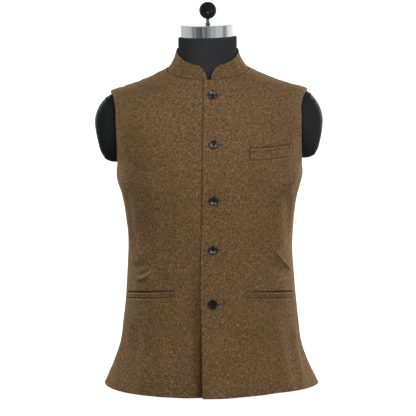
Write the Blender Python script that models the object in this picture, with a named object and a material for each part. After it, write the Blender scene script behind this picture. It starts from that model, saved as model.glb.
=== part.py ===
"""A sleeveless suit waistcoat with a stand collar, buttoned on a limbless dress form.

Metres, +Z up. +X is the wearer's left, the front faces -Y, and the dress form
stands on Z = 0. The cloth and the form share one body surface: a stack of
rounded sections, read at a turn (0 at centre front, +90 degrees at the wearer's
left side, 180 at centre back) and a height. Each cloth piece is a grid of turns
and heights between its own cut edges, given a wall of even thickness. The form
is the same surface moved in by the ease, so the cloth always clears it.
"""

import math
from collections import namedtuple

import bmesh
import bpy
import numpy as np
from mathutils import Matrix, Vector

# ---------------------------------------------------------------- driving sizes
WALL = 0.0020
SEAM_GAP = 0.0003
SEAM_HALF_GAP = 0.00017
SIDE_TURN = math.radians(90.0)
SHOULDER_TURN = math.radians(87.0)
HEM_HEIGHT = 0.0035
UNDERARM_HEIGHT = 0.455
SHOULDER_TIP_HEIGHT = 0.6155
NECK_FRONT_HEIGHT = 0.643
NECK_SIDE_HEIGHT = 0.667
NECK_BACK_HEIGHT = 0.676
ARMHOLE_TURN = math.radians(18.0)
ARMHOLE_BACK_TURN = math.radians(19.0)
ARMHOLE_LEAN_POWER = 3

BUTTON_ACROSS = (0.0076, 0.0097, 0.0095, 0.0082, 0.0077)
BUTTON_HEIGHTS = (0.6140, 0.5180, 0.4057, 0.3048, 0.1947)
BUTTON_RADIUS = 0.0092
BUTTON_FOOT_RADIUS = 0.0080
BUTTON_THICKNESS = 0.0036
BUTTON_RIM = 0.0015
BUTTON_WELL_RADIUS = 0.0045
BUTTON_WELL_HEIGHT = (0.0024, 0.0018)
BUTTON_GAP = 0.0005
UNDERLAP_EDGE = 0.0300
LAP_RISE = 0.0017
LAP_LEVEL_TO = 0.0400
LAP_ENDS_AT = 0.0750
LAP_SINK = 0.0016
LAP_SINK_STARTS = 0.0220
LAP_SINK_FULL = 0.0020
LAP_HEM_LIFT = 0.0065
LAP_HEM_REACH = 0.0600
LAP_HEM_SINK = 0.0045
LAP_HEM_SINK_STARTS = 0.0550
LAP_HEM_POWER = 1.5

COLLAR_WALL = 0.0022
COLLAR_HALF_WIDTH = 0.0629
COLLAR_FRONT_REACH = 0.0685
COLLAR_BACK_REACH = 0.0630
COLLAR_TOP = (0.6702, 0.6995, 0.7080)
COLLAR_HOLLOW = 0.0024
COLLAR_LEFT_END = 0.0050
COLLAR_RIGHT_END = -0.0040
COLLAR_GAP = 0.0004
COLLAR_CORNER = 0.0225
COLLAR_CORNER_POWER = 0.62
COLLAR_END_SHARE = 0.20

SHOULDER_TILT = math.radians(0.75)
SHOULDER_TILT_FROM = 0.480
SHOULDER_TILT_FULL = 0.620

NECK_TOP_HEIGHT = 0.7245
NECK_TILT = math.radians(1.4)
NECK_CENTRE = (-0.0030, -0.0020)
NECK_CAP_RADIUS = 0.0545
NECK_CAP_HEIGHT = 0.0245
NECK_CAP_CORNER = 0.0015
NECK_CAP_CHAMFER = 0.0010
NECK_CAP_CROWN = 0.0006
FINIAL_ACROSS = 0.0014
STEM_RADIUS = 0.0036
STEM_HEIGHT = 0.0108
STEM_FOOT_RADIUS = (0.0049, 0.0045)
STEM_FOOT_HEIGHT = (0.0030, 0.0045)
BALL_RADIUS = 0.0177
BALL_FOOT_SHARE = 0.97

ARM_CAP_REACH = 0.0325
ARM_CAP_LEFT_CENTRE = 0.5465
ARM_CAP_RIGHT_CENTRE = 0.5380
ARM_CAP_HALF_HEIGHT = 0.0700
ARM_CAP_HALF_DEPTH = 0.0532
ARM_CAP_RIM = 0.0008
ARM_CAP_GAP = 0.0006
ARM_CAP_FULLNESS = (2.3, 0.2, 2.4)
ARM_CAP_ROUNDNESS = (2.0, -0.8, 1.4)

# The body surface: the outer face of the cloth up to the neck seam, and the
# neck of the form above it. The ease is the way in from it to the form.
Section = namedtuple(
    "Section", "height centre half_width front back square ease_front ease_side"
)
SECTIONS = (
    Section(0.000, 0.0065, 0.2250, 0.1460, 0.1400, 2.05, 0.0140, 0.0450),
    Section(0.025, 0.0058, 0.2125, 0.1435, 0.1370, 2.10, 0.0130, 0.0330),
    Section(0.050, 0.0053, 0.2012, 0.1405, 0.1340, 2.15, 0.0120, 0.0230),
    Section(0.095, 0.0046, 0.1870, 0.1355, 0.1290, 2.20, 0.0095, 0.0115),
    Section(0.150, 0.0046, 0.1802, 0.1305, 0.1230, 2.30, 0.0075, 0.0070),
    Section(0.210, 0.0040, 0.1743, 0.1265, 0.1160, 2.35, 0.0065, 0.0060),
    Section(0.300, 0.0027, 0.1690, 0.1225, 0.1080, 2.40, 0.0060, 0.0055),
    Section(0.370, 0.0022, 0.1745, 0.1250, 0.1100, 2.50, 0.0060, 0.0055),
    Section(0.400, 0.0014, 0.1793, 0.1275, 0.1130, 2.55, 0.0060, 0.0055),
    Section(0.430, 0.0010, 0.1878, 0.1300, 0.1170, 2.60, 0.0060, 0.0050),
    Section(0.446, 0.0013, 0.1906, 0.1308, 0.1190, 2.60, 0.0060, 0.0045),
    Section(0.464, 0.0015, 0.1903, 0.1310, 0.1205, 2.60, 0.0060, 0.0040),
    Section(0.500, 0.0005, 0.1970, 0.1290, 0.1220, 2.60, 0.0060, 0.0050),
    Section(0.560, -0.0005, 0.2055, 0.1190, 0.1190, 2.45, 0.0055, 0.0055),
    Section(0.599, -0.0010, 0.2040, 0.1040, 0.1110, 2.20, 0.0070, 0.0060),
    Section(0.616, 0.0004, 0.2012, 0.0958, 0.1052, 2.10, 0.0080, 0.0070),
    Section(0.6265, -0.0008, 0.1705, 0.0895, 0.0995, 2.05, 0.0064, 0.0050),
    Section(0.6388, -0.0018, 0.1340, 0.0816, 0.0916, 2.00, 0.0062, 0.0038),
    Section(0.6512, -0.0020, 0.1060, 0.0743, 0.0824, 2.00, 0.0060, 0.0034),
    Section(0.667, -0.0023, 0.0765, 0.0680, 0.0700, 2.00, 0.0056, 0.0042),
    Section(0.676, -0.0025, 0.0640, 0.0640, 0.0635, 2.00, 0.0036, 0.0018),
    Section(0.690, -0.0027, 0.0605, 0.0625, 0.0590, 2.00, 0.0005, 0.0003),
    Section(0.700, -0.0028, 0.0598, 0.0620, 0.0580, 2.00, 0.0000, 0.0000),
    Section(0.730, -0.0030, 0.0598, 0.0620, 0.0580, 2.00, 0.0000, 0.0000),
)

# The free front edge of the upper front: where it runs at each height.
LapEdge = namedtuple("LapEdge", "height across")
LAP_EDGE = (
    LapEdge(0.000, -0.0125),
    LapEdge(0.140, -0.0150),
    LapEdge(0.220, -0.0172),
    LapEdge(0.300, -0.0158),
    LapEdge(0.400, -0.0132),
    LapEdge(0.500, -0.0126),
    LapEdge(0.600, -0.0112),
    LapEdge(0.660, -0.0102),
)

# How far the hem is lifted at each turn, in degrees, round the body.
HemLift = namedtuple("HemLift", "turn lift")
HEM_LIFT = (
    HemLift(-180.0, 0.0000),
    HemLift(-112.0, 0.0010),
    HemLift(-88.0, 0.0024),
    HemLift(-64.0, 0.0000),
    HemLift(12.0, 0.0000),
    HemLift(46.0, 0.0054),
    HemLift(88.0, 0.0042),
    HemLift(120.0, 0.0015),
    HemLift(180.0, 0.0000),
)

# The largest folds, as soft ridges and troughs of the whole cloth surface.
# turn and half_turn are degrees round the body, lean is degrees for each metre
# of height, and the rest are metres.
Fold = namedtuple("Fold", "turn height lean half_turn half_length rise")
FOLDS = (
    Fold(-46.0, 0.330, 20.0, 9.0, 0.110, -0.0022),
    Fold(-62.0, 0.262, -420.0, 6.0, 0.030, 0.0022),
    Fold(60.0, 0.300, 300.0, 6.0, 0.035, 0.0022),
    Fold(72.0, 0.400, 40.0, 7.0, 0.080, 0.0015),
    Fold(-66.0, 0.055, 15.0, 7.0, 0.070, -0.0040),
    Fold(-84.0, 0.030, 0.0, 7.0, 0.050, 0.0025),
    Fold(63.0, 0.060, 25.0, 7.0, 0.080, -0.0040),
    Fold(82.0, 0.030, 0.0, 7.0, 0.050, 0.0025),
    Fold(24.0, 0.080, -30.0, 9.0, 0.080, 0.0022),
    Fold(-30.0, 0.100, 25.0, 8.0, 0.090, 0.0018),
    Fold(150.0, 0.120, 30.0, 10.0, 0.140, 0.0040),
    Fold(-152.0, 0.140, -25.0, 10.0, 0.150, 0.0035),
    Fold(180.0, 0.300, 0.0, 9.0, 0.120, -0.0022),
    Fold(125.0, 0.330, -60.0, 7.0, 0.070, 0.0025),
    Fold(-128.0, 0.310, 70.0, 7.0, 0.080, 0.0025),
)

# Pocket welts on the fronts: which side, the two ends across, the height of
# the top edge at each end, how far it bows up between them, the depth of the
# strip, and its thickness.
Welt = namedtuple("Welt", "name side inner outer inner_top outer_top bow depth thickness")
WELT_GAP = 0.0004
WELTS = (
    Welt("welt_chest", 1, 0.0825, 0.1655, 0.5087, 0.5137, -0.0006, 0.0220, 0.0013),
    Welt("welt_left", 1, 0.0745, 0.1715, 0.2163, 0.2040, 0.0026, 0.0094, 0.0011),
    Welt("welt_right", -1, 0.0720, 0.1665, 0.2176, 0.2022, 0.0016, 0.0094, 0.0011),
)

# The form's rings: from and to which height, and how many.
FormBand = namedtuple("FormBand", "start end rings")
FORM_BANDS = (
    FormBand(0.000, 0.440, 11),
    FormBand(0.452, 0.600, 9),
    FormBand(0.6085, 0.667, 11),
    FormBand(0.673, 0.702, 4),
)
# Below the first height the form is its own oval, and above the second it
# keeps its ease square to the cloth.
FORM_OWN_OVAL = (0.060, 0.150)

# Grid fineness, and the small steps that a normal is taken over.
FRONT_COLUMNS = 16
FRONT_ROWS = (12, 8, 8)
ARMHOLE_NECK_PART = 0.68
BACK_COLUMNS = 28
BACK_SEAM_COLUMNS = 7
BACK_ROWS = (12, 10)
BACK_ROW_CROWDING = 1.35
COLLAR_END_STEPS = 4
COLLAR_ROWS = 3
WELT_STEPS = (12, 2)
FORM_COLUMNS = 40
CAP_RINGS = 7
CAP_SPOKES = 24
CORNER_STEPS = 4
BALL_STEPS = 12
TURNED_STEPS = 20
TURN_STEP = 0.002
HEIGHT_STEP = 0.0006
SIDE_FACE_ROUNDS = 6
SHARP_ANGLE = math.radians(40)

# Colour, roughness and metallic value of each finish.
FINISHES = {
    "tweed": ((0.115, 0.070, 0.032, 1.0), 0.95, 0.0),
    "form_jersey": ((0.012, 0.012, 0.013, 1.0), 0.75, 0.0),
    "button_horn": ((0.010, 0.012, 0.018, 1.0), 0.30, 0.0),
    "chrome": ((0.80, 0.80, 0.80, 1.0), 0.12, 1.0),
    "black_gloss": ((0.004, 0.004, 0.004, 1.0), 0.10, 0.0),
}


# ---------------------------------------------------------------- smooth tables
def smooth_column(at, heights, values):
    """Read a table column at any height by a monotone cubic, with no overshoot."""
    heights = np.asarray(heights, dtype=float)
    values = np.asarray(values, dtype=float)
    steps = np.diff(heights)
    slopes = np.diff(values) / steps
    tangents = np.zeros_like(values)
    same_way = slopes[:-1] * slopes[1:] > 0
    weight_a = 2 * steps[1:] + steps[:-1]
    weight_b = steps[1:] + 2 * steps[:-1]
    safe_a = np.where(same_way, slopes[:-1], 1.0)
    safe_b = np.where(same_way, slopes[1:], 1.0)
    mean = (weight_a + weight_b) / (weight_a / safe_a + weight_b / safe_b)
    tangents[1:-1] = np.where(same_way, mean, 0.0)
    tangents[0] = slopes[0]
    tangents[-1] = slopes[-1]
    at = np.clip(np.asarray(at, dtype=float), heights[0], heights[-1])
    row = np.clip(np.searchsorted(heights, at, side="right") - 1, 0, len(steps) - 1)
    step = steps[row]
    part = (at - heights[row]) / step
    rest = 1 - part
    return (
        (1 + 2 * part) * rest**2 * values[row]
        + part * rest**2 * step * tangents[row]
        + part**2 * (3 - 2 * part) * values[row + 1]
        - part**2 * rest * step * tangents[row + 1]
    )


def section_at(height):
    """The body section at a height, each column read smoothly."""
    heights = [row.height for row in SECTIONS]
    columns = [
        smooth_column(height, heights, [getattr(row, name) for row in SECTIONS])
        for name in Section._fields[1:]
    ]
    return Section(height, *columns)


def ramp(value, start, end):
    """0 before start, 1 after end, and a smooth step between them."""
    part = np.clip((value - start) / (end - start), 0.0, 1.0)
    return part * part * (3 - 2 * part)


# ---------------------------------------------------------------- body surface
def oval_point(turn, height, section):
    """A point of a section: a squared oval round its centre, tilted at the top."""
    fore = np.cos(turn)
    depth = np.where(fore > 0, section.front, section.back)
    sideways = (np.abs(np.sin(turn)) / section.half_width) ** section.square
    lengthways = (np.abs(fore) / depth) ** section.square
    reach = (sideways + lengthways) ** (-1 / section.square)
    across = section.centre + reach * np.sin(turn)
    tilt = math.tan(SHOULDER_TILT) * ramp(height, SHOULDER_TILT_FROM, SHOULDER_TILT_FULL)
    tilt = tilt * (1 - ramp(height, NECK_SIDE_HEIGHT, NECK_TOP_HEIGHT))
    return np.stack([across, -reach * fore, height + tilt * across], axis=-1)


def body_point(turn, height):
    """A point of the body surface."""
    return oval_point(turn, height, section_at(height))


def surface_normal(surface, turn, height):
    """The outward normal of any surface of turn and height, by small steps."""
    along_turn = surface(turn + TURN_STEP, height) - surface(turn - TURN_STEP, height)
    along_height = surface(turn, height + HEIGHT_STEP) - surface(turn, height - HEIGHT_STEP)
    normal = np.cross(along_turn, along_height)
    return normal / np.linalg.norm(normal, axis=-1, keepdims=True)


def turn_across(across, height, behind=False):
    """The turn of the point in front, or behind, this far across at this height."""
    section = section_at(height)
    offset = across - section.centre
    share = np.clip(np.abs(offset) / section.half_width, 0.0, 1.0)
    full_depth = section.back if behind else section.front
    depth = full_depth * (1 - share**section.square) ** (1 / section.square)
    turn = np.arctan2(offset, -depth if behind else depth)
    return np.where(turn < 0, turn + 2 * math.pi, turn) if behind else turn


def fold_rise(turn, height):
    """The sum of the soft folds, each a bell across and a bell along."""
    total = 0.0 * turn
    for fold in FOLDS:
        middle = fold.turn + fold.lean * (height - fold.height)
        away = (np.degrees(turn) - middle + 180.0) % 360.0 - 180.0
        across = np.exp(-((away / fold.half_turn) ** 2))
        along = np.exp(-(((height - fold.height) / fold.half_length) ** 2))
        total = total + fold.rise * across * along
    return total


def lap_edge(height):
    """How far across the free edge of the upper front runs at a height."""
    return smooth_column(
        height, [row.height for row in LAP_EDGE], [row.across for row in LAP_EDGE]
    )


def below_buttons(height):
    """0 down to the last button, growing to 1 at the hem."""
    return np.clip(1 - height / BUTTON_HEIGHTS[-1], 0.0, 1.0) ** LAP_HEM_POWER


def over_rise(turn, height):
    """The upper front lies on the lower one, and lifts off it below the buttons."""
    across = body_point(turn, height)[..., 0]
    edge = lap_edge(height)
    on_lap = 1 - ramp(across, LAP_LEVEL_TO, LAP_ENDS_AT)
    from_edge = 1 - ramp(across, edge, edge + LAP_HEM_REACH)
    return LAP_RISE * on_lap + LAP_HEM_LIFT * below_buttons(height) * from_edge


def under_rise(turn, height):
    """The lower front sinks where the upper one covers it, most at the hem."""
    across = body_point(turn, height)[..., 0]
    edge = lap_edge(height)
    covered = ramp(across, edge - LAP_SINK_STARTS, edge - LAP_SINK_FULL)
    hanging_back = ramp(across, edge - LAP_HEM_SINK_STARTS, edge)
    return -LAP_SINK * covered - LAP_HEM_SINK * below_buttons(height) * hanging_back


def no_rise(turn, height):
    """The back has no lap."""
    return 0.0 * turn


def cloth_surface(layer_rise):
    """The outer face of a cloth layer, as a function of turn and height."""

    def surface(turn, height):
        normal = surface_normal(body_point, turn, height)
        rise = fold_rise(turn, height) + layer_rise(turn, height)
        return body_point(turn, height) + normal * rise[..., None]

    return surface


OVER = cloth_surface(over_rise)
UNDER = cloth_surface(under_rise)
BACK = cloth_surface(no_rise)


# ---------------------------------------------------------------- cut edges
def neck_height(turn):
    """The neck seam: low in front, higher at the side, highest behind."""
    fore = np.cos(turn)
    front = NECK_FRONT_HEIGHT + (NECK_SIDE_HEIGHT - NECK_FRONT_HEIGHT) * (1 - fore)
    back = NECK_SIDE_HEIGHT - (NECK_BACK_HEIGHT - NECK_SIDE_HEIGHT) * fore
    return np.where(fore > 0, front, back)


def half_gap_turn(height):
    """Half of the seam gap, as a turn round the body at a height."""
    return SEAM_HALF_GAP / section_at(height).half_width


def lifted(heights, turns):
    """Heights of a panel's lower part, with its hem lifted as the table says."""
    degrees = (np.degrees(turns) + 180.0) % 360.0 - 180.0
    lift = np.interp(
        degrees, [row.turn for row in HEM_LIFT], [row.lift for row in HEM_LIFT]
    )
    return heights + lift * (1 - heights / UNDERARM_HEIGHT) ** 2


def armhole_edge(part, turn_reach, seam_turn):
    """The armhole from the underarm (part 0) to the shoulder tip (part 1).

    Half an oval in turn and height. seam_turn is the turn of the shoulder
    seam away from the side, and the oval leans to end on it.
    """
    angle = math.pi * (np.asarray(part, dtype=float) - 0.5)
    middle = (UNDERARM_HEIGHT + SHOULDER_TIP_HEIGHT) / 2
    reach = (SHOULDER_TIP_HEIGHT - UNDERARM_HEIGHT) / 2
    height = middle + reach * np.sin(angle)
    away = turn_reach * np.cos(angle) + seam_turn * np.asarray(part) ** ARMHOLE_LEAN_POWER
    return away, height


def coons(left, right, bottom, top, parts):
    """A grid of values between four edges: a bilinear patch that meets them all.

    parts says how far each row lies on the way from the bottom to the top.
    """
    down = parts[:, None]
    across = np.linspace(0, 1, len(bottom))[None, :]
    ruled_across = (1 - across) * left[:, None] + across * right[:, None]
    ruled_down = (1 - down) * bottom[None, :] + down * top[None, :]
    corners = (
        (1 - across) * (1 - down) * bottom[0]
        + across * (1 - down) * bottom[-1]
        + (1 - across) * down * top[0]
        + across * down * top[-1]
    )
    return ruled_across + ruled_down - corners


def upper_patch(left, right, bottom, top, parts, behind):
    """Turns and heights over the chest or the shoulder blades.

    Each edge is a row of turns and a row of heights. The patch is drawn flat,
    as seen from in front, because turns crowd together along the shoulder.
    """
    flat = []
    for turns, heights in (left, right, bottom, top):
        flat.append((body_point(turns, heights)[..., 0], heights))
    across = coons(*[edge[0] for edge in flat], parts)
    heights = coons(*[edge[1] for edge in flat], parts)
    turns = turn_across(across, heights, behind)
    for place, edge in (((slice(None), 0), left), ((slice(None), -1), right)):
        turns[place] = edge[0]
    for place, edge in ((0, bottom), (-1, top)):
        turns[place] = edge[0]
    return turns, heights


def front_grid(side, edge_across, collar_end):
    """Turns and heights of a front, from its centre edge to its side seam.

    side is +1 for the wearer's left front. The rows run from the hem to the
    underarm, on to the front of the neck, and along the neck to the shoulder.
    """
    low_rows, chest_rows, top_rows = FRONT_ROWS
    low = np.linspace(0, 1, low_rows + 1)[:, None]
    columns = np.linspace(0, 1, FRONT_COLUMNS + 1)
    side_seam = side * SIDE_TURN
    shoulder = side * SHOULDER_TURN

    heights = HEM_HEIGHT + (UNDERARM_HEIGHT - HEM_HEIGHT) * (low + 0 * columns)
    edge_turns = turn_across(edge_across(heights[:, 0]), heights[:, 0])
    seam_turns = side_seam - side * half_gap_turn(heights[:, 0])
    turns = edge_turns[:, None] * (1 - columns) + seam_turns[:, None] * columns
    heights = lifted(heights, turns)

    chest = np.linspace(0, 1, chest_rows + 1)
    edge_height = UNDERARM_HEIGHT + (NECK_FRONT_HEIGHT - UNDERARM_HEIGHT) * chest
    edge_turn = turn_across(edge_across(edge_height), edge_height)
    collar_turn = turn_across(collar_end, NECK_FRONT_HEIGHT)
    neck_turn = np.linspace(collar_turn, shoulder, top_rows)
    left_turn = np.concatenate([edge_turn, neck_turn])
    left_height = np.concatenate([edge_height, neck_height(neck_turn)])

    below = np.linspace(0, ARMHOLE_NECK_PART, chest_rows + 1)
    above = np.linspace(ARMHOLE_NECK_PART, 1, top_rows + 1)[1:]
    parts = np.concatenate([below, above])
    away, right_height = armhole_edge(parts, ARMHOLE_TURN, SIDE_TURN - SHOULDER_TURN)
    right_turn = side_seam - side * (away + half_gap_turn(right_height))
    top_height = np.linspace(left_height[-1], right_height[-1], FRONT_COLUMNS + 1)
    top_turn = shoulder - side * half_gap_turn(top_height)
    left_turn[-1] = top_turn[0]
    right_turn[-1] = top_turn[-1]

    upper_turns, upper_heights = upper_patch(
        (left_turn, left_height),
        (right_turn, right_height),
        (turns[-1], heights[-1]),
        (top_turn, top_height),
        parts,
        behind=False,
    )
    turns = np.concatenate([turns, upper_turns[1:]])
    heights = np.concatenate([heights, upper_heights[1:]])
    return turns, heights


def back_grid():
    """Turns and heights of the back, from the left side seam round to the right."""
    low_rows, top_rows = BACK_ROWS
    low = np.linspace(0, 1, low_rows + 1)[:, None]
    columns = np.linspace(-1, 1, BACK_COLUMNS + 1)
    whole = 2 * math.pi

    heights = HEM_HEIGHT + (UNDERARM_HEIGHT - HEM_HEIGHT) * (low + 0 * columns)
    reach = SIDE_TURN - half_gap_turn(heights[:, :1])
    turns = math.pi + reach * columns
    heights = lifted(heights, turns)

    parts = 1 - (1 - np.linspace(0, 1, top_rows + 1)) ** BACK_ROW_CROWDING
    away, edge_height = armhole_edge(parts, ARMHOLE_BACK_TURN, SHOULDER_TURN - SIDE_TURN)
    edge_turn = SIDE_TURN + away + half_gap_turn(edge_height)
    neck_columns = BACK_COLUMNS - 2 * BACK_SEAM_COLUMNS
    seam_height = np.linspace(
        SHOULDER_TIP_HEIGHT, neck_height(SHOULDER_TURN), BACK_SEAM_COLUMNS + 1
    )
    seam_turn = SHOULDER_TURN + half_gap_turn(seam_height)
    edge_turn[-1] = seam_turn[0]
    neck_turn = np.linspace(seam_turn[-1], whole - seam_turn[-1], neck_columns + 1)
    top_turn = np.concatenate([seam_turn, neck_turn[1:-1], whole - seam_turn[::-1]])
    neck_edge = neck_height(neck_turn[1:-1])
    top_height = np.concatenate([seam_height, neck_edge, seam_height[::-1]])

    upper_turns, upper_heights = upper_patch(
        (edge_turn, edge_height),
        (whole - edge_turn, edge_height),
        (turns[-1], heights[-1]),
        (top_turn, top_height),
        parts,
        behind=True,
    )
    turns = np.concatenate([turns, upper_turns[1:]])
    heights = np.concatenate([heights, upper_heights[1:]])
    return turns, heights


# ---------------------------------------------------------------- mesh making
def finish(name):
    """The Principled material of one finish, made once."""
    material = bpy.data.materials.get(name)
    if material is None:
        colour, roughness, metallic = FINISHES[name]
        material = bpy.data.materials.new(name)
        material.use_nodes = True
        shader = material.node_tree.nodes["Principled BSDF"]
        shader.inputs["Base Color"].default_value = colour
        shader.inputs["Roughness"].default_value = roughness
        shader.inputs["Metallic"].default_value = metallic
        material.diffuse_color = colour
    return material


def show_smooth(name, mesh, finish_name):
    """Link a new object with this mesh, shaded smooth up to its sharp edges."""
    mesh.shade_smooth()
    mesh.set_sharp_from_angle(angle=SHARP_ANGLE)
    mesh.materials.append(finish(finish_name))
    made = bpy.data.objects.new(name, mesh)
    bpy.context.scene.collection.objects.link(made)
    return made


def add_object(name, points, faces, finish_name):
    """Link a new object made of these points and faces."""
    mesh = bpy.data.meshes.new(name)
    mesh.from_pydata([tuple(point) for point in points], [], faces)
    show_smooth(name, mesh, finish_name)


def grid_quads(rows, columns, first=0, flip=False):
    """Quads between the points of a grid stored row by row."""
    quads = []
    for row in range(rows - 1):
        for column in range(columns - 1):
            corner = first + row * columns + column
            quad = (corner, corner + 1, corner + columns + 1, corner + columns)
            quads.append(quad[::-1] if flip else quad)
    return quads


def rim_indices(rows, columns):
    """The edge points of a grid, once round."""
    bottom = [column for column in range(columns)]
    right = [row * columns + columns - 1 for row in range(1, rows)]
    top = [(rows - 1) * columns + column for column in range(columns - 2, -1, -1)]
    left = [row * columns for row in range(rows - 2, 0, -1)]
    return bottom + right + top + left


def wall(name, outer, inner, flip, finish_name="tweed"):
    """A closed wall between two grids of points. flip turns its faces round."""
    rows, columns = outer.shape[:2]
    count = rows * columns
    points = np.concatenate([outer.reshape(-1, 3), inner.reshape(-1, 3)])
    faces = grid_quads(rows, columns, 0, flip)
    faces += grid_quads(rows, columns, count, not flip)
    rim = rim_indices(rows, columns)
    for here, there in zip(rim, rim[1:] + rim[:1]):
        quad = (there, here, here + count, there + count)
        faces.append(quad[::-1] if flip else quad)
    add_object(name, points, faces, finish_name)


def cloth_faces(surface, turns, heights, out=0.0, thickness=WALL):
    """The outer and inner points of a wall of cloth, its outer face moved out."""
    normals = surface_normal(surface, turns, heights)
    outer = surface(turns, heights) + normals * out
    return outer, outer - normals * thickness


def cloth_piece(name, surface, turns, heights, out=0.0, thickness=WALL):
    """A wall of cloth on a surface. Its two faces are returned."""
    outer, inner = cloth_faces(surface, turns, heights, out, thickness)
    flip = bool(turns[0, -1] < turns[0, 0])
    wall(name, outer, inner, flip)
    return turns, outer, inner


# ---------------------------------------------------------------- the garment
def make_fronts():
    """The upper front on the wearer's left, and the lower one under its edge."""
    turns, heights = front_grid(1, lap_edge, COLLAR_LEFT_END)
    left = cloth_piece("front_left", OVER, turns, heights)
    turns, heights = front_grid(
        -1, lambda height: UNDERLAP_EDGE + 0 * height, COLLAR_RIGHT_END
    )
    right = cloth_piece("front_right", UNDER, turns, heights)
    return left, right


def make_back():
    """One back panel, from side seam to side seam."""
    turns, heights = back_grid()
    return cloth_piece("back", BACK, turns, heights)


def neck_seam(left, right, back):
    """The neck edge of the cloth, from the left front round to the right front.

    Each piece is its turns, outer points and inner points. The edge starts and
    ends where the collar's front corners stand.
    """
    first = FRONT_ROWS[0] + FRONT_ROWS[1] + 1
    behind = slice(BACK_SEAM_COLUMNS + 1, BACK_COLUMNS - BACK_SEAM_COLUMNS)
    edge = []
    for on_left, on_right, on_back in zip(left, right, back):
        start = on_left[first:, 0]
        end = on_right[first:, 0][::-1]
        edge.append((start, on_back[-1, behind], end))
    turns = np.concatenate([edge[0][0], edge[0][1], edge[0][2] + 2 * math.pi])
    return turns, np.concatenate(edge[1]), np.concatenate(edge[2])


def collar_top_point(turn):
    """The upper edge of the collar's outer face."""
    front_top, side_top, back_top = COLLAR_TOP
    fore = np.cos(turn)
    height = np.where(
        fore > 0,
        front_top + (side_top - front_top) * (1 - fore),
        side_top - (back_top - side_top) * fore,
    )
    depth = np.where(fore > 0, COLLAR_FRONT_REACH, COLLAR_BACK_REACH)
    centre = section_at(height).centre
    return np.stack(
        [centre + COLLAR_HALF_WIDTH * np.sin(turn), -depth * fore, height], axis=-1
    )


def make_collar(left, right, back):
    """The stand collar: a band on the neck seam with rounded front corners."""
    turns, outer_edge, inner_edge = neck_seam(left, right, back)
    last = len(turns) - 1
    close = np.arange(0, 2 * COLLAR_END_STEPS) / COLLAR_END_STEPS
    stations = np.concatenate([close, np.arange(2, last - 1), last - close[::-1]])
    whole = np.arange(last + 1)
    turn = np.interp(stations, whole, turns)
    foot = np.stack([np.interp(stations, whole, axis) for axis in outer_edge.T], -1)
    under = np.stack([np.interp(stations, whole, axis) for axis in inner_edge.T], -1)

    from_end = np.minimum(turn - turn[0], turn[-1] - turn) * COLLAR_FRONT_REACH
    into_corner = np.clip(1 - from_end / COLLAR_CORNER, 0.0, 1.0)
    rounded = (1 - into_corner**2) ** COLLAR_CORNER_POWER
    share = COLLAR_END_SHARE + (1 - COLLAR_END_SHARE) * rounded
    rise = collar_top_point(turn) - foot
    length = np.linalg.norm(rise, axis=-1, keepdims=True)
    up = rise / length
    around = np.gradient(foot, axis=0)
    outward = np.cross(around, up)
    outward /= np.linalg.norm(outward, axis=-1, keepdims=True)
    outer = []
    inner = []
    for row in range(COLLAR_ROWS + 1):
        part = row / COLLAR_ROWS
        height = COLLAR_GAP + (length * share[:, None] - COLLAR_GAP) * part
        waist = np.sin(turn)[:, None] ** 2 * math.sin(math.pi * part)
        point = foot + up * height - outward * COLLAR_HOLLOW * waist
        outer.append(point)
        inner.append(point - (foot - under) * (1 - part) - outward * COLLAR_WALL * part)
    wall("collar", np.array(outer), np.array(inner), False)


def make_welts():
    """Pocket welts, made from the points of the front they lie on."""
    long_steps, deep_steps = WELT_STEPS
    for welt in WELTS:
        surface = OVER if welt.side > 0 else UNDER
        along = np.linspace(0, 1, long_steps + 1)[None, :]
        down = np.linspace(1, 0, deep_steps + 1)[:, None]
        top = welt.inner_top + (welt.outer_top - welt.inner_top) * along
        top = top + 4 * welt.bow * along * (1 - along)
        heights = top - welt.depth * down
        inner_turn = turn_across(welt.side * welt.inner, welt.inner_top)
        outer_turn = turn_across(welt.side * welt.outer, welt.outer_top)
        turns = inner_turn + (outer_turn - inner_turn) * along + 0 * down
        out = WELT_GAP + welt.thickness
        cloth_piece(welt.name, surface, turns, heights, out, welt.thickness)


def turned(name, profile, finish_name, place):
    """A body turned round Z from (radius, height) points that start and end on it."""
    shape = bmesh.new()
    rims = []
    for radius, height in profile:
        rims.append(shape.verts.new((radius, 0.0, height)))
    edges = [shape.edges.new(pair) for pair in zip(rims, rims[1:])]
    bmesh.ops.spin(
        shape,
        geom=rims + edges,
        axis=(0, 0, 1),
        cent=(0, 0, 0),
        angle=2 * math.pi,
        steps=TURNED_STEPS,
        use_merge=True,
    )
    bmesh.ops.remove_doubles(shape, verts=shape.verts, dist=0.00001)
    bmesh.ops.recalc_face_normals(shape, faces=shape.faces)
    mesh = bpy.data.meshes.new(name)
    shape.to_mesh(mesh)
    shape.free()
    show_smooth(name, mesh, finish_name).matrix_world = place


def arc(centre, radius, start, end, steps):
    """Points of a circular arc in a turned profile, angles in degrees."""
    angles = [math.radians(start + (end - start) * n / steps) for n in range(steps + 1)]
    return [
        (centre[0] + radius * math.cos(angle), centre[1] + radius * math.sin(angle))
        for angle in angles
    ]


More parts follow.
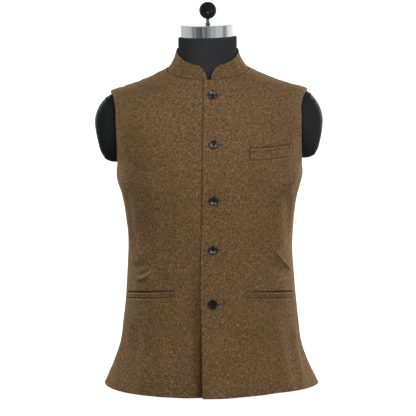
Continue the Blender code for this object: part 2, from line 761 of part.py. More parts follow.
def make_buttons():
    """Five dished buttons on the upper front, each flat against the cloth."""
    well_edge, well_centre = BUTTON_WELL_HEIGHT
    rim_centre = (BUTTON_RADIUS - BUTTON_RIM, BUTTON_THICKNESS - BUTTON_RIM)
    profile = [(0.0, 0.0), (BUTTON_FOOT_RADIUS, 0.0)]
    profile += arc(rim_centre, BUTTON_RIM, -35, 145, CORNER_STEPS)
    profile += [(BUTTON_WELL_RADIUS, well_edge), (0.0, well_centre)]
    places = zip(BUTTON_HEIGHTS, BUTTON_ACROSS)
    for number, (height, across) in enumerate(places, start=1):
        turn = np.array(turn_across(across, height))
        level = np.array(height)
        facing = Vector(surface_normal(OVER, turn, level))
        seat = Vector(OVER(turn, level)) + facing * BUTTON_GAP
        spin = facing.to_track_quat("Z", "Y").to_matrix().to_4x4()
        turned(f"button_{number}", profile, "button_horn", Matrix.Translation(seat) @ spin)


# ---------------------------------------------------------------- the dress form
def form_surface(turn, height):
    """The body surface moved in by the ease, which leaves room for the cloth.

    The flare of the cloth has far more ease at the sides than in front, so low
    down the form is an oval of its own.
    """
    section = section_at(height)
    sideways = np.sin(turn) ** 2
    ease = section.ease_front * (1 - sideways) + section.ease_side * sideways
    normal = surface_normal(body_point, turn, height)
    eased = body_point(turn, height) - normal * ease[..., None]
    smaller = section._replace(
        half_width=section.half_width - section.ease_side,
        front=section.front - section.ease_front,
        back=section.back - section.ease_front,
    )
    own_oval = oval_point(turn, height, smaller)
    upper = ramp(height, *FORM_OWN_OVAL)[..., None]
    return own_oval * (1 - upper) + eased * upper


def make_form_body():
    """The torso and neck: closed rings, flat underneath and flat at the neck."""
    levels = np.concatenate([np.linspace(*band) for band in FORM_BANDS])
    turns = np.linspace(0, 2 * math.pi, FORM_COLUMNS, endpoint=False)
    turn_grid, level_grid = np.meshgrid(turns, levels)
    points = form_surface(turn_grid, level_grid)
    points[0, :, 2] = 0.0
    rim = points[-1].copy()
    rim[:, 2] = NECK_TOP_HEIGHT + (rim[:, 0] - NECK_CENTRE[0]) * math.tan(NECK_TILT)
    points = np.concatenate([points, rim[None]])
    rows = len(points)
    faces = []
    for row in range(rows - 1):
        for column in range(FORM_COLUMNS):
            here = row * FORM_COLUMNS + column
            beside = row * FORM_COLUMNS + (column + 1) % FORM_COLUMNS
            faces.append((here, beside, beside + FORM_COLUMNS, here + FORM_COLUMNS))
    last = (rows - 1) * FORM_COLUMNS
    faces.append(tuple(range(FORM_COLUMNS - 1, -1, -1)))
    faces.append(tuple(range(last, last + FORM_COLUMNS)))
    add_object("form_body", points.reshape(-1, 3), faces, "form_jersey")


def side_face(side, lengthways, height):
    """How far across the form's side lies at a depth and height."""
    turn = np.arctan2(np.full_like(lengthways, section_at(height).half_width), -lengthways)
    for _ in range(SIDE_FACE_ROUNDS):
        point = form_surface(side * turn, height)
        turn = np.arctan2(np.abs(point[..., 0]), -lengthways)
    return np.abs(form_surface(side * turn, height)[..., 0])


def make_arm_cap(name, side, centre):
    """A rounded cap on one side of the form, fuller below than above.

    Both its faces follow the form's side: rings round the centre, each ring
    with a point on every spoke, and the outer ones pushed out by the bulge.
    """
    spokes = np.linspace(0, 2 * math.pi, CAP_SPOKES, endpoint=False)[None, :]
    rings = np.sin(np.linspace(0, math.pi / 2, CAP_RINGS + 1))[1:, None]
    lengthways = ARM_CAP_HALF_DEPTH * rings * np.cos(spokes)
    heights = centre + ARM_CAP_HALF_HEIGHT * rings * np.sin(spokes)
    above = np.clip(np.sin(spokes), 0, 1)
    below = np.clip(-np.sin(spokes), 0, 1)
    full, full_above, full_below = ARM_CAP_FULLNESS
    fullness = full + full_above * above + full_below * below**2
    even, even_above, even_below = ARM_CAP_ROUNDNESS
    roundness = even + even_above * above + even_below * below
    bulge = ARM_CAP_REACH * np.clip(1 - rings**fullness, 0, 1) ** (1 / roundness)
    root = side_face(side, lengthways, heights) + ARM_CAP_GAP
    middle = float(side_face(side, np.zeros(1), np.full(1, centre))[0]) + ARM_CAP_GAP
    outer = np.stack([side * (root + ARM_CAP_RIM + bulge), lengthways, heights], axis=-1)
    inner = np.stack([side * root, lengthways, heights], axis=-1)
    tip = (side * (middle + ARM_CAP_RIM + ARM_CAP_REACH), 0.0, centre)
    hub = (side * middle, 0.0, centre)
    points = [*outer.reshape(-1, 3), *inner.reshape(-1, 3), tip, hub]

    count = CAP_RINGS * CAP_SPOKES
    edge = count - CAP_SPOKES
    faces = []
    for spoke in range(CAP_SPOKES):
        beside = (spoke + 1) % CAP_SPOKES
        faces.append((2 * count, spoke, beside))
        faces.append((2 * count + 1, count + beside, count + spoke))
        for here in range(0, edge, CAP_SPOKES):
            there = here + CAP_SPOKES
            quad = (here + spoke, there + spoke, there + beside, here + beside)
            faces.append(quad)
            faces.append(tuple(count + corner for corner in quad[::-1]))
        faces.append((edge + spoke, count + edge + spoke, count + edge + beside, edge + beside))
    if side < 0:
        faces = [face[::-1] for face in faces]
    add_object(name, points, faces, "form_jersey")


def make_neck_hardware():
    """The metal cap on the neck, its stem and the ball on top."""
    tilt = Matrix.Rotation(-NECK_TILT, 4, "Y")
    base = Vector((*NECK_CENTRE, NECK_TOP_HEIGHT))
    corner = (NECK_CAP_RADIUS - NECK_CAP_CORNER, NECK_CAP_HEIGHT - NECK_CAP_CORNER)
    cap = [(0.0, 0.0), (NECK_CAP_RADIUS - NECK_CAP_CHAMFER, 0.0)]
    cap += [(NECK_CAP_RADIUS, NECK_CAP_CHAMFER)]
    cap += arc(corner, NECK_CAP_CORNER, 0, 90, CORNER_STEPS)
    cap += [(0.0, NECK_CAP_HEIGHT + NECK_CAP_CROWN)]
    seat = Matrix.Translation(base + Vector((0, 0, SEAM_GAP)))
    turned("neck_cap", cap, "chrome", seat @ tilt)

    clear = NECK_CAP_HEIGHT + NECK_CAP_CROWN + 2 * SEAM_GAP
    top = Matrix.Translation(base) @ tilt @ Vector((0, 0, clear))
    top.x += FINIAL_ACROSS
    stem = [(0.0, 0.0), (STEM_FOOT_RADIUS[0], 0.0)]
    stem += [(STEM_FOOT_RADIUS[1], STEM_FOOT_HEIGHT[0]), (STEM_RADIUS, STEM_FOOT_HEIGHT[1])]
    stem += [(STEM_RADIUS, STEM_HEIGHT), (0.0, STEM_HEIGHT)]
    turned("finial_stem", stem, "chrome", Matrix.Translation(top))

    foot = BALL_RADIUS * BALL_FOOT_SHARE
    centre = top + Vector((0, 0, STEM_HEIGHT + SEAM_GAP + foot))
    start = -math.degrees(math.asin(BALL_FOOT_SHARE))
    ball = [(0.0, -foot), *arc((0.0, 0.0), BALL_RADIUS, start, 90, BALL_STEPS)]
    ball[-1] = (0.0, BALL_RADIUS)
    turned("finial_ball", ball, "black_gloss", Matrix.Translation(centre))


# ---------------------------------------------------------------- the whole part
def main():
    """Clear the scene and make every piece."""
    for old in list(bpy.data.objects):
        bpy.data.objects.remove(old, do_unlink=True)
    left, right = make_fronts()
    back = make_back()
    make_collar(left, right, back)
    make_welts()
    make_buttons()
    make_form_body()
    make_arm_cap("arm_cap_left", 1, ARM_CAP_LEFT_CENTRE)
    make_arm_cap("arm_cap_right", -1, ARM_CAP_RIGHT_CENTRE)
    make_neck_hardware()


main()
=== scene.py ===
"""Looks of a brown tweed waistcoat with a stand collar, on a black dress form.

Metres, +Z up, the front faces -Y and +X is the wearer's left. Every cloth piece
is a grid of turns round the body and heights, laid on the same body surface as
its solid, given its creases, and then a wall with rolled edges.
"""
import math
from collections import namedtuple

import bpy
import numpy as np
from mathutils import Matrix, Vector


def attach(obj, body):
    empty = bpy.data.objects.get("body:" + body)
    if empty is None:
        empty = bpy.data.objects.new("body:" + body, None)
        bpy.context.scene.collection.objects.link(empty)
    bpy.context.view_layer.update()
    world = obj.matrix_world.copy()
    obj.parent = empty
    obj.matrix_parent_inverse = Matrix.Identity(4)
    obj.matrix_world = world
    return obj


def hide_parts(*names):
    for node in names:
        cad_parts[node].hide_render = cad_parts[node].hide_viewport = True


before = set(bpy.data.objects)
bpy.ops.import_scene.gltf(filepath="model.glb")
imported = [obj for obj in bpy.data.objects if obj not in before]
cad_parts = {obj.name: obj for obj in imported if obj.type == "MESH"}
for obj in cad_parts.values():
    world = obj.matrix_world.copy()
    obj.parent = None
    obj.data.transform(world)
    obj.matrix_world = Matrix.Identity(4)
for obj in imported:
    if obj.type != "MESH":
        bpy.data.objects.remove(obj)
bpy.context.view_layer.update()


def rows_of(kind, rows):
    """A table's rows as named tuples of this kind."""
    return tuple(kind(*row) for row in rows)


# ---- the garment's sizes
WALL = 0.0020
ROLL = 0.0012
SEAM_HALF_GAP = 0.00017
SIDE_TURN = math.radians(90.0)
SHOULDER_TURN = math.radians(87.0)
HEM_HEIGHT = 0.0035
UNDERARM_HEIGHT = 0.455
SHOULDER_TIP_HEIGHT = 0.6155
NECK_FRONT_HEIGHT = 0.643
NECK_SIDE_HEIGHT = 0.667
NECK_BACK_HEIGHT = 0.676
ARMHOLE_TURN = math.radians(18.0)
ARMHOLE_BACK_TURN = math.radians(19.0)
ARMHOLE_LEAN_POWER = 3

BUTTON_ACROSS = (0.0076, 0.0097, 0.0095, 0.0082, 0.0077)
BUTTON_HEIGHTS = (0.6140, 0.5180, 0.4057, 0.3048, 0.1947)
BUTTON_RADIUS = 0.0092
BUTTON_THICKNESS = 0.0036
BUTTON_RIM = 0.0015
BUTTON_DISH = 0.0016
HOLE_PLACE = 0.00150
BUTTON_LIFT = 0.0005
BUTTONHOLE_LENGTH = 0.0185
BUTTONHOLE_STARTS = -0.0015
LAP_RISE = 0.0017
LAP_LEVEL_TO = 0.0400
LAP_ENDS_AT = 0.0750
LAP_SINK = 0.0016
LAP_SINK_STARTS = 0.0220
LAP_SINK_FULL = 0.0020
UNDERLAP_EDGE = 0.0300
LAP_HEM_LIFT = 0.0065
LAP_HEM_REACH = 0.0600
LAP_HEM_SINK = 0.0045
LAP_HEM_SINK_STARTS = 0.0550
LAP_HEM_POWER = 1.5
LAP_HOLLOW_AWAY = 0.0075
LAP_HOLLOW_REACH = 0.0115
LAP_HOLLOW_DEPTH = 0.0024
LAP_HOLLOW_SLOPE = 0.0100
LAP_HOLLOW_FADES = (0.140, 0.390)
# How dark the painted shade in the hollow and the painted shadow line at the lap's edge are.
LAP_HOLLOW_SHADE = 0.52
LAP_LINE_SHADE = 0.45
LAP_LINE_REACH = 0.0016

COLLAR_WALL = 0.0022
COLLAR_GAP = 0.0004
COLLAR_HALF_WIDTH = 0.0629
COLLAR_FRONT_REACH = 0.0685
COLLAR_BACK_REACH = 0.0630
COLLAR_TOP = (0.6702, 0.6995, 0.7080)
COLLAR_HOLLOW = 0.0024
COLLAR_LEFT_END = 0.0050
COLLAR_RIGHT_END = -0.0040
COLLAR_CORNER = 0.0225
COLLAR_CORNER_POWER = 0.62
COLLAR_END_SHARE = 0.20
# How dark the painted shadow at the collar's foot seam is, and the even painted shade over the
# whole collar.
COLLAR_SEAM_SHADE = 0.50
COLLAR_SHADE = 0.09

SHOULDER_TILT = math.radians(0.75)
SHOULDER_TILT_FROM = 0.480
SHOULDER_TILT_FULL = 0.620

NECK_TOP_HEIGHT = 0.7245
NECK_TILT = math.radians(1.4)
NECK_CENTRE = (-0.0030, -0.0020)
NECK_CAP_RADIUS = 0.0545
NECK_CAP_HEIGHT = 0.0245
NECK_CAP_CORNER = 0.0015
FINIAL_ACROSS = 0.0014
STEM_RADIUS = 0.0036
STEM_HEIGHT = 0.0108
BALL_RADIUS = 0.0177

ARM_CAP_REACH = 0.0325
ARM_CAP_CENTRES = {1: 0.5465, -1: 0.5380}
ARM_CAP_HALF_HEIGHT = 0.0700
ARM_CAP_HALF_DEPTH = 0.0532
ARM_CAP_RIM = 0.0008
ARM_CAP_GAP = 0.0006
ARM_CAP_FULLNESS = (2.3, 0.2, 2.4)
ARM_CAP_ROUNDNESS = (2.0, -0.8, 1.4)
ARM_CAP_SEAM = 0.90
ARM_CAP_SEAM_REACH = 0.022
ARM_CAP_SEAM_RISE = 0.0014

Section = namedtuple(
    "Section", "height centre half_width front back square ease_front ease_side"
)
SECTIONS = rows_of(Section, (
    (0.000, 0.0065, 0.2250, 0.1460, 0.1400, 2.05, 0.0140, 0.0450),
    (0.025, 0.0058, 0.2125, 0.1435, 0.1370, 2.10, 0.0130, 0.0330),
    (0.050, 0.0053, 0.2012, 0.1405, 0.1340, 2.15, 0.0120, 0.0230),
    (0.095, 0.0046, 0.1870, 0.1355, 0.1290, 2.20, 0.0095, 0.0115),
    (0.150, 0.0046, 0.1802, 0.1305, 0.1230, 2.30, 0.0075, 0.0070),
    (0.210, 0.0040, 0.1743, 0.1265, 0.1160, 2.35, 0.0065, 0.0060),
    (0.300, 0.0027, 0.1690, 0.1225, 0.1080, 2.40, 0.0060, 0.0055),
    (0.370, 0.0022, 0.1745, 0.1250, 0.1100, 2.50, 0.0060, 0.0055),
    (0.400, 0.0014, 0.1793, 0.1275, 0.1130, 2.55, 0.0060, 0.0055),
    (0.430, 0.0010, 0.1878, 0.1300, 0.1170, 2.60, 0.0060, 0.0050),
    (0.446, 0.0013, 0.1906, 0.1308, 0.1190, 2.60, 0.0060, 0.0045),
    (0.464, 0.0015, 0.1903, 0.1310, 0.1205, 2.60, 0.0060, 0.0040),
    (0.500, 0.0005, 0.1970, 0.1290, 0.1220, 2.60, 0.0060, 0.0050),
    (0.560, -0.0005, 0.2055, 0.1190, 0.1190, 2.45, 0.0055, 0.0055),
    (0.599, -0.0010, 0.2040, 0.1040, 0.1110, 2.20, 0.0070, 0.0060),
    (0.616, 0.0004, 0.2012, 0.0958, 0.1052, 2.10, 0.0080, 0.0070),
    (0.6265, -0.0008, 0.1705, 0.0895, 0.0995, 2.05, 0.0064, 0.0050),
    (0.6388, -0.0018, 0.1340, 0.0816, 0.0916, 2.00, 0.0062, 0.0038),
    (0.6512, -0.0020, 0.1060, 0.0743, 0.0824, 2.00, 0.0060, 0.0034),
    (0.667, -0.0023, 0.0765, 0.0680, 0.0700, 2.00, 0.0056, 0.0042),
    (0.676, -0.0025, 0.0640, 0.0640, 0.0635, 2.00, 0.0036, 0.0018),
    (0.690, -0.0027, 0.0605, 0.0625, 0.0590, 2.00, 0.0005, 0.0003),
    (0.700, -0.0028, 0.0598, 0.0620, 0.0580, 2.00, 0.0000, 0.0000),
    (0.730, -0.0030, 0.0598, 0.0620, 0.0580, 2.00, 0.0000, 0.0000),
))
SECTION_HEIGHTS = np.array([row.height for row in SECTIONS])
FORM_OWN_OVAL = (0.060, 0.150)
FOOT_ROLL = 0.014

# Height, and how far across the upper front's free edge runs there.
LAP_EDGE = (
    (0.000, -0.0125),
    (0.140, -0.0150),
    (0.220, -0.0172),
    (0.300, -0.0158),
    (0.400, -0.0132),
    (0.500, -0.0126),
    (0.600, -0.0112),
    (0.660, -0.0102),
)

# Turn in degrees, and how far the hem is lifted there.
HEM_LIFT = (
    (-180.0, 0.0000),
    (-112.0, 0.0010),
    (-88.0, 0.0024),
    (-64.0, 0.0000),
    (12.0, 0.0000),
    (46.0, 0.0054),
    (88.0, 0.0042),
    (120.0, 0.0015),
    (180.0, 0.0000),
)

# The largest folds: a bell across and a bell along. turn and half_turn are in
# degrees, lean in degrees for each metre of height.
Fold = namedtuple("Fold", "turn height lean half_turn half_length rise")
FOLDS = rows_of(Fold, (
    (-46.0, 0.330, 20.0, 9.0, 0.110, -0.0022),
    (-62.0, 0.262, -420.0, 6.0, 0.030, 0.0022),
    (60.0, 0.300, 300.0, 6.0, 0.035, 0.0022),
    (72.0, 0.400, 40.0, 7.0, 0.080, 0.0015),
    (-66.0, 0.055, 15.0, 7.0, 0.070, -0.0040),
    (-84.0, 0.030, 0.0, 7.0, 0.050, 0.0025),
    (63.0, 0.060, 25.0, 7.0, 0.080, -0.0040),
    (82.0, 0.030, 0.0, 7.0, 0.050, 0.0025),
    (24.0, 0.080, -30.0, 9.0, 0.080, 0.0022),
    (-30.0, 0.100, 25.0, 8.0, 0.090, 0.0018),
    (150.0, 0.120, 30.0, 10.0, 0.140, 0.0040),
    (-152.0, 0.140, -25.0, 10.0, 0.150, 0.0035),
    (180.0, 0.300, 0.0, 9.0, 0.120, -0.0022),
    (125.0, 0.330, -60.0, 7.0, 0.070, 0.0025),
    (-128.0, 0.310, 70.0, 7.0, 0.080, 0.0025),
))

# Finer creases, each along a bent line from start by middle to end. The turns
# are degrees, the heights and the rest metres; reach is half the width.
Crease = namedtuple(
    "Crease",
    "turn_a height_a turn_b height_b turn_c height_c reach rise",
)
CREASES = rows_of(Crease, (
    (-65.0, 0.2370, -56.5, 0.2425, -49.0, 0.2590, 0.0044, 0.0056),
    (-76.0, 0.258, -60.0, 0.266, -48.0, 0.296, 0.0085, -0.0036),
    (-53.0, 0.216, -46.0, 0.232, -38.0, 0.252, 0.0070, -0.0018),
    (-52.0, 0.2540, -43.5, 0.2550, -34.0, 0.2575, 0.0024, 0.0016),
    (-49.0, 0.430, -47.0, 0.395, -49.0, 0.360, 0.0040, 0.0009),
    (-52.0, 0.545, -54.0, 0.400, -57.0, 0.262, 0.0150, -0.0032),
    (-70.0, 0.440, -74.0, 0.360, -71.0, 0.280, 0.0090, 0.0024),
    (-25.0, 0.575, -26.0, 0.430, -28.0, 0.290, 0.0110, 0.0017),
    (-34.0, 0.262, -27.0, 0.258, -20.0, 0.262, 0.0042, 0.0008),
    (75.0, 0.249, 61.0, 0.278, 49.0, 0.319, 0.0028, 0.0025),
    (74.5, 0.248, 62.0, 0.2775, 53.0, 0.306, 0.0017, 0.0019),
    (42.0, 0.310, 53.0, 0.272, 70.0, 0.240, 0.0110, -0.0024),
    (60.0, 0.420, 68.0, 0.350, 66.0, 0.300, 0.0100, -0.0018),
    (14.0, 0.352, 15.5, 0.330, 17.0, 0.300, 0.0036, 0.0010),
    (0.5, 0.246, 1.0, 0.232, 3.0, 0.212, 0.0044, -0.0013),
    (9.0, 0.250, 8.0, 0.232, 6.0, 0.214, 0.0048, 0.0010),
    (-78.0, 0.150, -80.0, 0.080, -72.0, 0.010, 0.0085, 0.0024),
    (-62.0, 0.150, -60.0, 0.060, -56.0, -0.050, 0.0140, -0.0030),
    (-40.0, 0.140, -38.0, 0.060, -36.0, -0.050, 0.0130, 0.0018),
    (73.0, 0.140, 72.0, 0.070, 67.0, 0.010, 0.0085, 0.0024),
    (54.0, 0.130, 52.0, 0.050, 48.0, -0.050, 0.0150, -0.0026),
    (-22.0, 0.170, -21.0, 0.080, -20.0, -0.040, 0.0110, 0.0016),
    (33.0, 0.170, 31.0, 0.070, 28.0, -0.040, 0.0140, 0.0017),
    (-74.0, 0.505, -62.0, 0.475, -50.0, 0.462, 0.0110, -0.0030),
    (-74.0, 0.475, -66.0, 0.450, -60.0, 0.420, 0.0080, 0.0016),
    (74.0, 0.500, 62.0, 0.468, 50.0, 0.452, 0.0110, -0.0028),
    (72.0, 0.462, 66.0, 0.440, 60.0, 0.415, 0.0080, 0.0015),
    (-58.0, 0.628, -62.0, 0.604, -66.0, 0.570, 0.0085, -0.0011),
    (56.0, 0.628, 60.0, 0.604, 64.0, 0.570, 0.0085, -0.0011),
    (-26.0, 0.636, -30.0, 0.616, -38.0, 0.590, 0.0080, -0.0010),
    (27.0, 0.636, 31.0, 0.616, 38.0, 0.590, 0.0080, -0.0008),
    (98.0, 0.300, 112.0, 0.318, 128.0, 0.352, 0.0070, 0.0028),
    (96.0, 0.272, 112.0, 0.286, 132.0, 0.310, 0.0080, -0.0020),
    (-98.0, 0.288, -114.0, 0.304, -132.0, 0.344, 0.0070, 0.0027),
    (-97.0, 0.262, -113.0, 0.272, -130.0, 0.300, 0.0080, -0.0019),
    (104.0, 0.420, 120.0, 0.400, 140.0, 0.392, 0.0080, 0.0018),
    (-104.0, 0.430, -122.0, 0.404, -142.0, 0.398, 0.0080, 0.0017),
    (152.0, 0.600, 146.0, 0.540, 140.0, 0.470, 0.0120, -0.0020),
    (-150.0, 0.600, -144.0, 0.530, -139.0, 0.460, 0.0120, -0.0020),
    (166.0, 0.655, 176.0, 0.640, 189.0, 0.652, 0.0060, -0.0012),
    (170.0, 0.280, 182.0, 0.268, 196.0, 0.286, 0.0075, 0.0018),
    (162.0, 0.330, 178.0, 0.318, 198.0, 0.334, 0.0070, -0.0015),
    (118.0, 0.190, 121.0, 0.090, 125.0, -0.040, 0.0150, 0.0034),
    (140.0, 0.160, 141.0, 0.070, 143.0, -0.040, 0.0130, -0.0030),
    (-120.0, 0.180, -124.0, 0.090, -127.0, -0.040, 0.0150, 0.0032),
    (-142.0, 0.170, -144.0, 0.070, -146.0, -0.040, 0.0130, -0.0028),
    (172.0, 0.190, 171.0, 0.090, 169.0, -0.040, 0.0160, 0.0030),
    (-170.0, 0.150, -169.0, 0.070, -167.0, -0.040, 0.0130, -0.0022),
    (92.0, 0.160, 93.0, 0.080, 94.0, -0.030, 0.0090, -0.0024),
    (-93.0, 0.160, -95.0, 0.080, -97.0, -0.030, 0.0090, -0.0024),
))

# Long low waves of the whole cloth: wave lengths across and up, and height.
Wave = namedtuple("Wave", "across up turned rise")
WAVES = (
    Wave(0.083, 0.231, 0.4, 0.00028),
    Wave(0.047, 0.139, 1.9, 0.00016),
    Wave(-0.061, 0.094, 3.1, 0.00018),
    Wave(0.031, -0.057, 5.0, 0.00009),
)

# Pocket welts: side, the ends across, the height of the top edge at each end, how far it
# bows up between them, the depth of the strip and its thickness. mouth is how deep the
# cloth sinks just above the strip. Then come how dark the painted shade in the mouth and the
# painted shadow lines at the foot seam and the two ends are, and how far the mouth and the
# foot seam fade towards the inner end.
Welt = namedtuple(
    "Welt",
    "name side inner outer inner_top outer_top bow depth thickness"
    " mouth dark_mouth dark_foot dark_inner dark_outer fading",
)
WELT_GAP = 0.0004
WELTS = (
    Welt(
        "welt_chest", 1, 0.0825, 0.1655, 0.5087, 0.5137, -0.0006, 0.0220, 0.0013,
        0.0011, 0.78, 0.26, 1.00, 0.16, 0.00,
    ),
    Welt(
        "welt_left", 1, 0.0745, 0.1715, 0.2163, 0.2040, 0.0026, 0.0094, 0.0011,
        0.0032, 1.00, 0.60, 0.20, 0.30, 0.65,
    ),
    Welt(
        "welt_right", -1, 0.0720, 0.1665, 0.2176, 0.2022, 0.0016, 0.0094, 0.0011,
        0.0034, 1.00, 0.65, 0.20, 0.30, 0.40,
    ),
)

# Where a grid is finer: the place on it from 0 to 1, the reach, and how much.
Finer = namedtuple("Finer", "place reach gain")
EDGES = (Finer(0.0, 0.006, 9.0), Finer(0.70, 0.120, 0.9), Finer(1.0, 0.006, 9.0))
BACK_EDGES = (Finer(0.0, 0.004, 9.0), Finer(1.0, 0.004, 9.0))
HEM_ROWS = (Finer(0.0, 0.004, 7.0),)
POCKET_ROWS = (Finer(0.0, 0.004, 7.0), Finer(0.4600, 0.024, 3.6), Finer(0.570, 0.055, 1.2))
NECK_ROWS = (Finer(1.0, 0.040, 5.0),)
FRONT_COLUMNS = 128
FRONT_ROWS = (164, 72, 60)
BACK_COLUMNS = 172
BACK_ROWS = (104, 64, 60)
COLLAR_COLUMNS = 280
COLLAR_ROWS = 22
YARNS_PER_METRE = 900.0
TURN_STEP = 0.002
HEIGHT_STEP = 0.0006


# ---- smooth tables
def smooth_column(at, heights, values):
    """A monotone cubic through a table column: the tangent at each row is the
    harmonic mean of the two slopes beside it, and 0 where they change sign."""
    steps = np.diff(heights)
    slopes = np.diff(values) / steps
    tangents = np.zeros_like(values)
    same_way = slopes[:-1] * slopes[1:] > 0
    weight_a = 2 * steps[1:] + steps[:-1]
    weight_b = steps[1:] + 2 * steps[:-1]
    safe_a = np.where(same_way, slopes[:-1], 1.0)
    safe_b = np.where(same_way, slopes[1:], 1.0)
    mean = (weight_a + weight_b) / (weight_a / safe_a + weight_b / safe_b)
    tangents[1:-1] = np.where(same_way, mean, 0.0)
    tangents[0] = slopes[0]
    tangents[-1] = slopes[-1]
    at = np.clip(at, heights[0], heights[-1])
    row = np.clip(np.searchsorted(heights, at, side="right") - 1, 0, len(steps) - 1)
    step = steps[row]
    part = (at - heights[row]) / step
    rest = 1 - part
    return (
        (1 + 2 * part) * rest**2 * values[row]
        + part * rest**2 * step * tangents[row]
        + part**2 * (3 - 2 * part) * values[row + 1]
        - part**2 * rest * step * tangents[row + 1]
    )


TABLE_STEPS = 2921
TABLE_FINE = np.linspace(SECTION_HEIGHTS[0], SECTION_HEIGHTS[-1], TABLE_STEPS)
TABLE_READ = {
    name: smooth_column(
        TABLE_FINE, SECTION_HEIGHTS, np.array([getattr(row, name) for row in SECTIONS])
    )
    for name in Section._fields[1:]
}


def section_at(height):
    """The body section at a height, read from the finely sampled table."""
    return Section(
        height, *(np.interp(height, TABLE_FINE, TABLE_READ[name]) for name in Section._fields[1:])
    )


def ramp(value, start, end):
    """3p^2 - 2p^3 of the part p of the way from start to end: 0 before, 1 after."""
    part = np.clip((value - start) / (end - start), 0.0, 1.0)
    return part * part * (3 - 2 * part)


def bell(away, reach):
    """exp(-(away / reach)^2)."""
    return np.exp(-((away / reach) ** 2))


def wrapped(degrees):
    """Degrees brought between -180 and 180."""
    return (degrees + 180.0) % 360.0 - 180.0


# ---- body surface
def oval_point(turn, height, section):
    """A squared oval: reach = (|sin turn / half_width|^n + |cos turn / depth|^n)^(-1/n),
    round the section's centre, and tilted at the shoulders by height times across."""
    fore = np.cos(turn)
    depth = np.where(fore > 0, section.front, section.back)
    sideways = (np.abs(np.sin(turn)) / section.half_width) ** section.square
    lengthways = (np.abs(fore) / depth) ** section.square
    reach = (sideways + lengthways) ** (-1 / section.square)
    across = section.centre + reach * np.sin(turn)
    tilt = math.tan(SHOULDER_TILT) * ramp(height, SHOULDER_TILT_FROM, SHOULDER_TILT_FULL)
    tilt = tilt * (1 - ramp(height, NECK_SIDE_HEIGHT, NECK_TOP_HEIGHT))
    return np.stack([across, -reach * fore, height + tilt * across], axis=-1)


def body_point(turn, height):
    """A point of the body surface."""
    return oval_point(turn, height, section_at(height))


def unit(vectors):
    """Vectors over their own lengths."""
    return vectors / np.linalg.norm(vectors, axis=-1, keepdims=True)


def surface_normal(surface, turn, height):
    """The cross product of the surface's small step in turn and in height."""
    along_turn = surface(turn + TURN_STEP, height) - surface(turn - TURN_STEP, height)
    along_height = surface(turn, height + HEIGHT_STEP) - surface(turn, height - HEIGHT_STEP)
    return unit(np.cross(along_turn, along_height))


def turn_across(across, height, behind=False):
    """The turn of the point in front, or behind, this far across at this height."""
    section = section_at(height)
    offset = across - section.centre
    share = np.clip(np.abs(offset) / section.half_width, 0.0, 1.0)
    full_depth = section.back if behind else section.front
    depth = full_depth * (1 - share**section.square) ** (1 / section.square)
    turn = np.arctan2(offset, -depth if behind else depth)
    return np.where(turn < 0, turn + math.tau, turn) if behind else turn


def fold_rise(turn, height):
    """Sum over the folds of rise * exp(-(away across)^2) * exp(-(away along)^2)."""
    total = 0.0 * turn
    for fold in FOLDS:
        middle = fold.turn + fold.lean * (height - fold.height)
        across = bell(wrapped(np.degrees(turn) - middle), fold.half_turn)
        along = bell(height - fold.height, fold.half_length)
        total = total + fold.rise * across * along
    return total


def lap_edge(height):
    """How far across the free edge of the upper front runs at a height."""
    rows = np.array(LAP_EDGE)
    return smooth_column(height, rows[:, 0], rows[:, 1])


def below_buttons(height):
    """(1 - height / last button)^power: 0 at the last button, 1 at the hem."""
    return np.clip(1 - height / BUTTON_HEIGHTS[-1], 0.0, 1.0) ** LAP_HEM_POWER


def over_rise(turn, height):
    """The upper front lies on the lower one, and lifts off it below the buttons."""
    across = body_point(turn, height)[..., 0]
    edge = lap_edge(height)
    on_lap = 1 - ramp(across, LAP_LEVEL_TO, LAP_ENDS_AT)
    from_edge = 1 - ramp(across, edge, edge + LAP_HEM_REACH)
    return LAP_RISE * on_lap + LAP_HEM_LIFT * below_buttons(height) * from_edge


def under_rise(turn, height):
    """The lower front sinks where the upper one covers it, most at the hem."""
    across = body_point(turn, height)[..., 0]
    edge = lap_edge(height)
    covered = ramp(across, edge - LAP_SINK_STARTS, edge - LAP_SINK_FULL)
    hanging_back = ramp(across, edge - LAP_HEM_SINK_STARTS, edge)
    return -LAP_SINK * covered - LAP_HEM_SINK * below_buttons(height) * hanging_back


def no_rise(turn, height):
    """The back has no lap."""
    return 0.0 * turn


def cloth_surface(layer_rise):
    """The outer face of a cloth layer: the body, moved out by folds and laps."""

    def surface(turn, height):
        """Body point plus normal times the rise."""
        normal = surface_normal(body_point, turn, height)
        rise = fold_rise(turn, height) + layer_rise(turn, height)
        return body_point(turn, height) + normal * rise[..., None]

    return surface


OVER = cloth_surface(over_rise)
UNDER = cloth_surface(under_rise)
BACK = cloth_surface(no_rise)


# ---- the cloth's own measure
FLAT_TURNS = np.radians(np.linspace(-190.0, 280.0, 471))
FLAT_HEIGHTS = np.linspace(0.0, 0.700, 351)


def flat_tables():
    """How far round from the centre front, and how far up from the hem, each point
    lies along the body: running sums of the steps of a grid of body points."""
    turns, heights = np.meshgrid(FLAT_TURNS, FLAT_HEIGHTS)
    points = body_point(turns, heights)
    steps_round = np.linalg.norm(np.diff(points, axis=1), axis=-1)
    steps_up = np.linalg.norm(np.diff(points, axis=0), axis=-1)
    round_way = np.concatenate([0 * steps_round[:, :1], np.cumsum(steps_round, axis=1)], 1)
    round_way -= round_way[:, [int(np.argmin(np.abs(FLAT_TURNS)))]]
    up_way = np.concatenate([0 * steps_up[:1], np.cumsum(steps_up, axis=0)])
    return round_way, up_way


FLAT_ROUND, FLAT_UP = flat_tables()


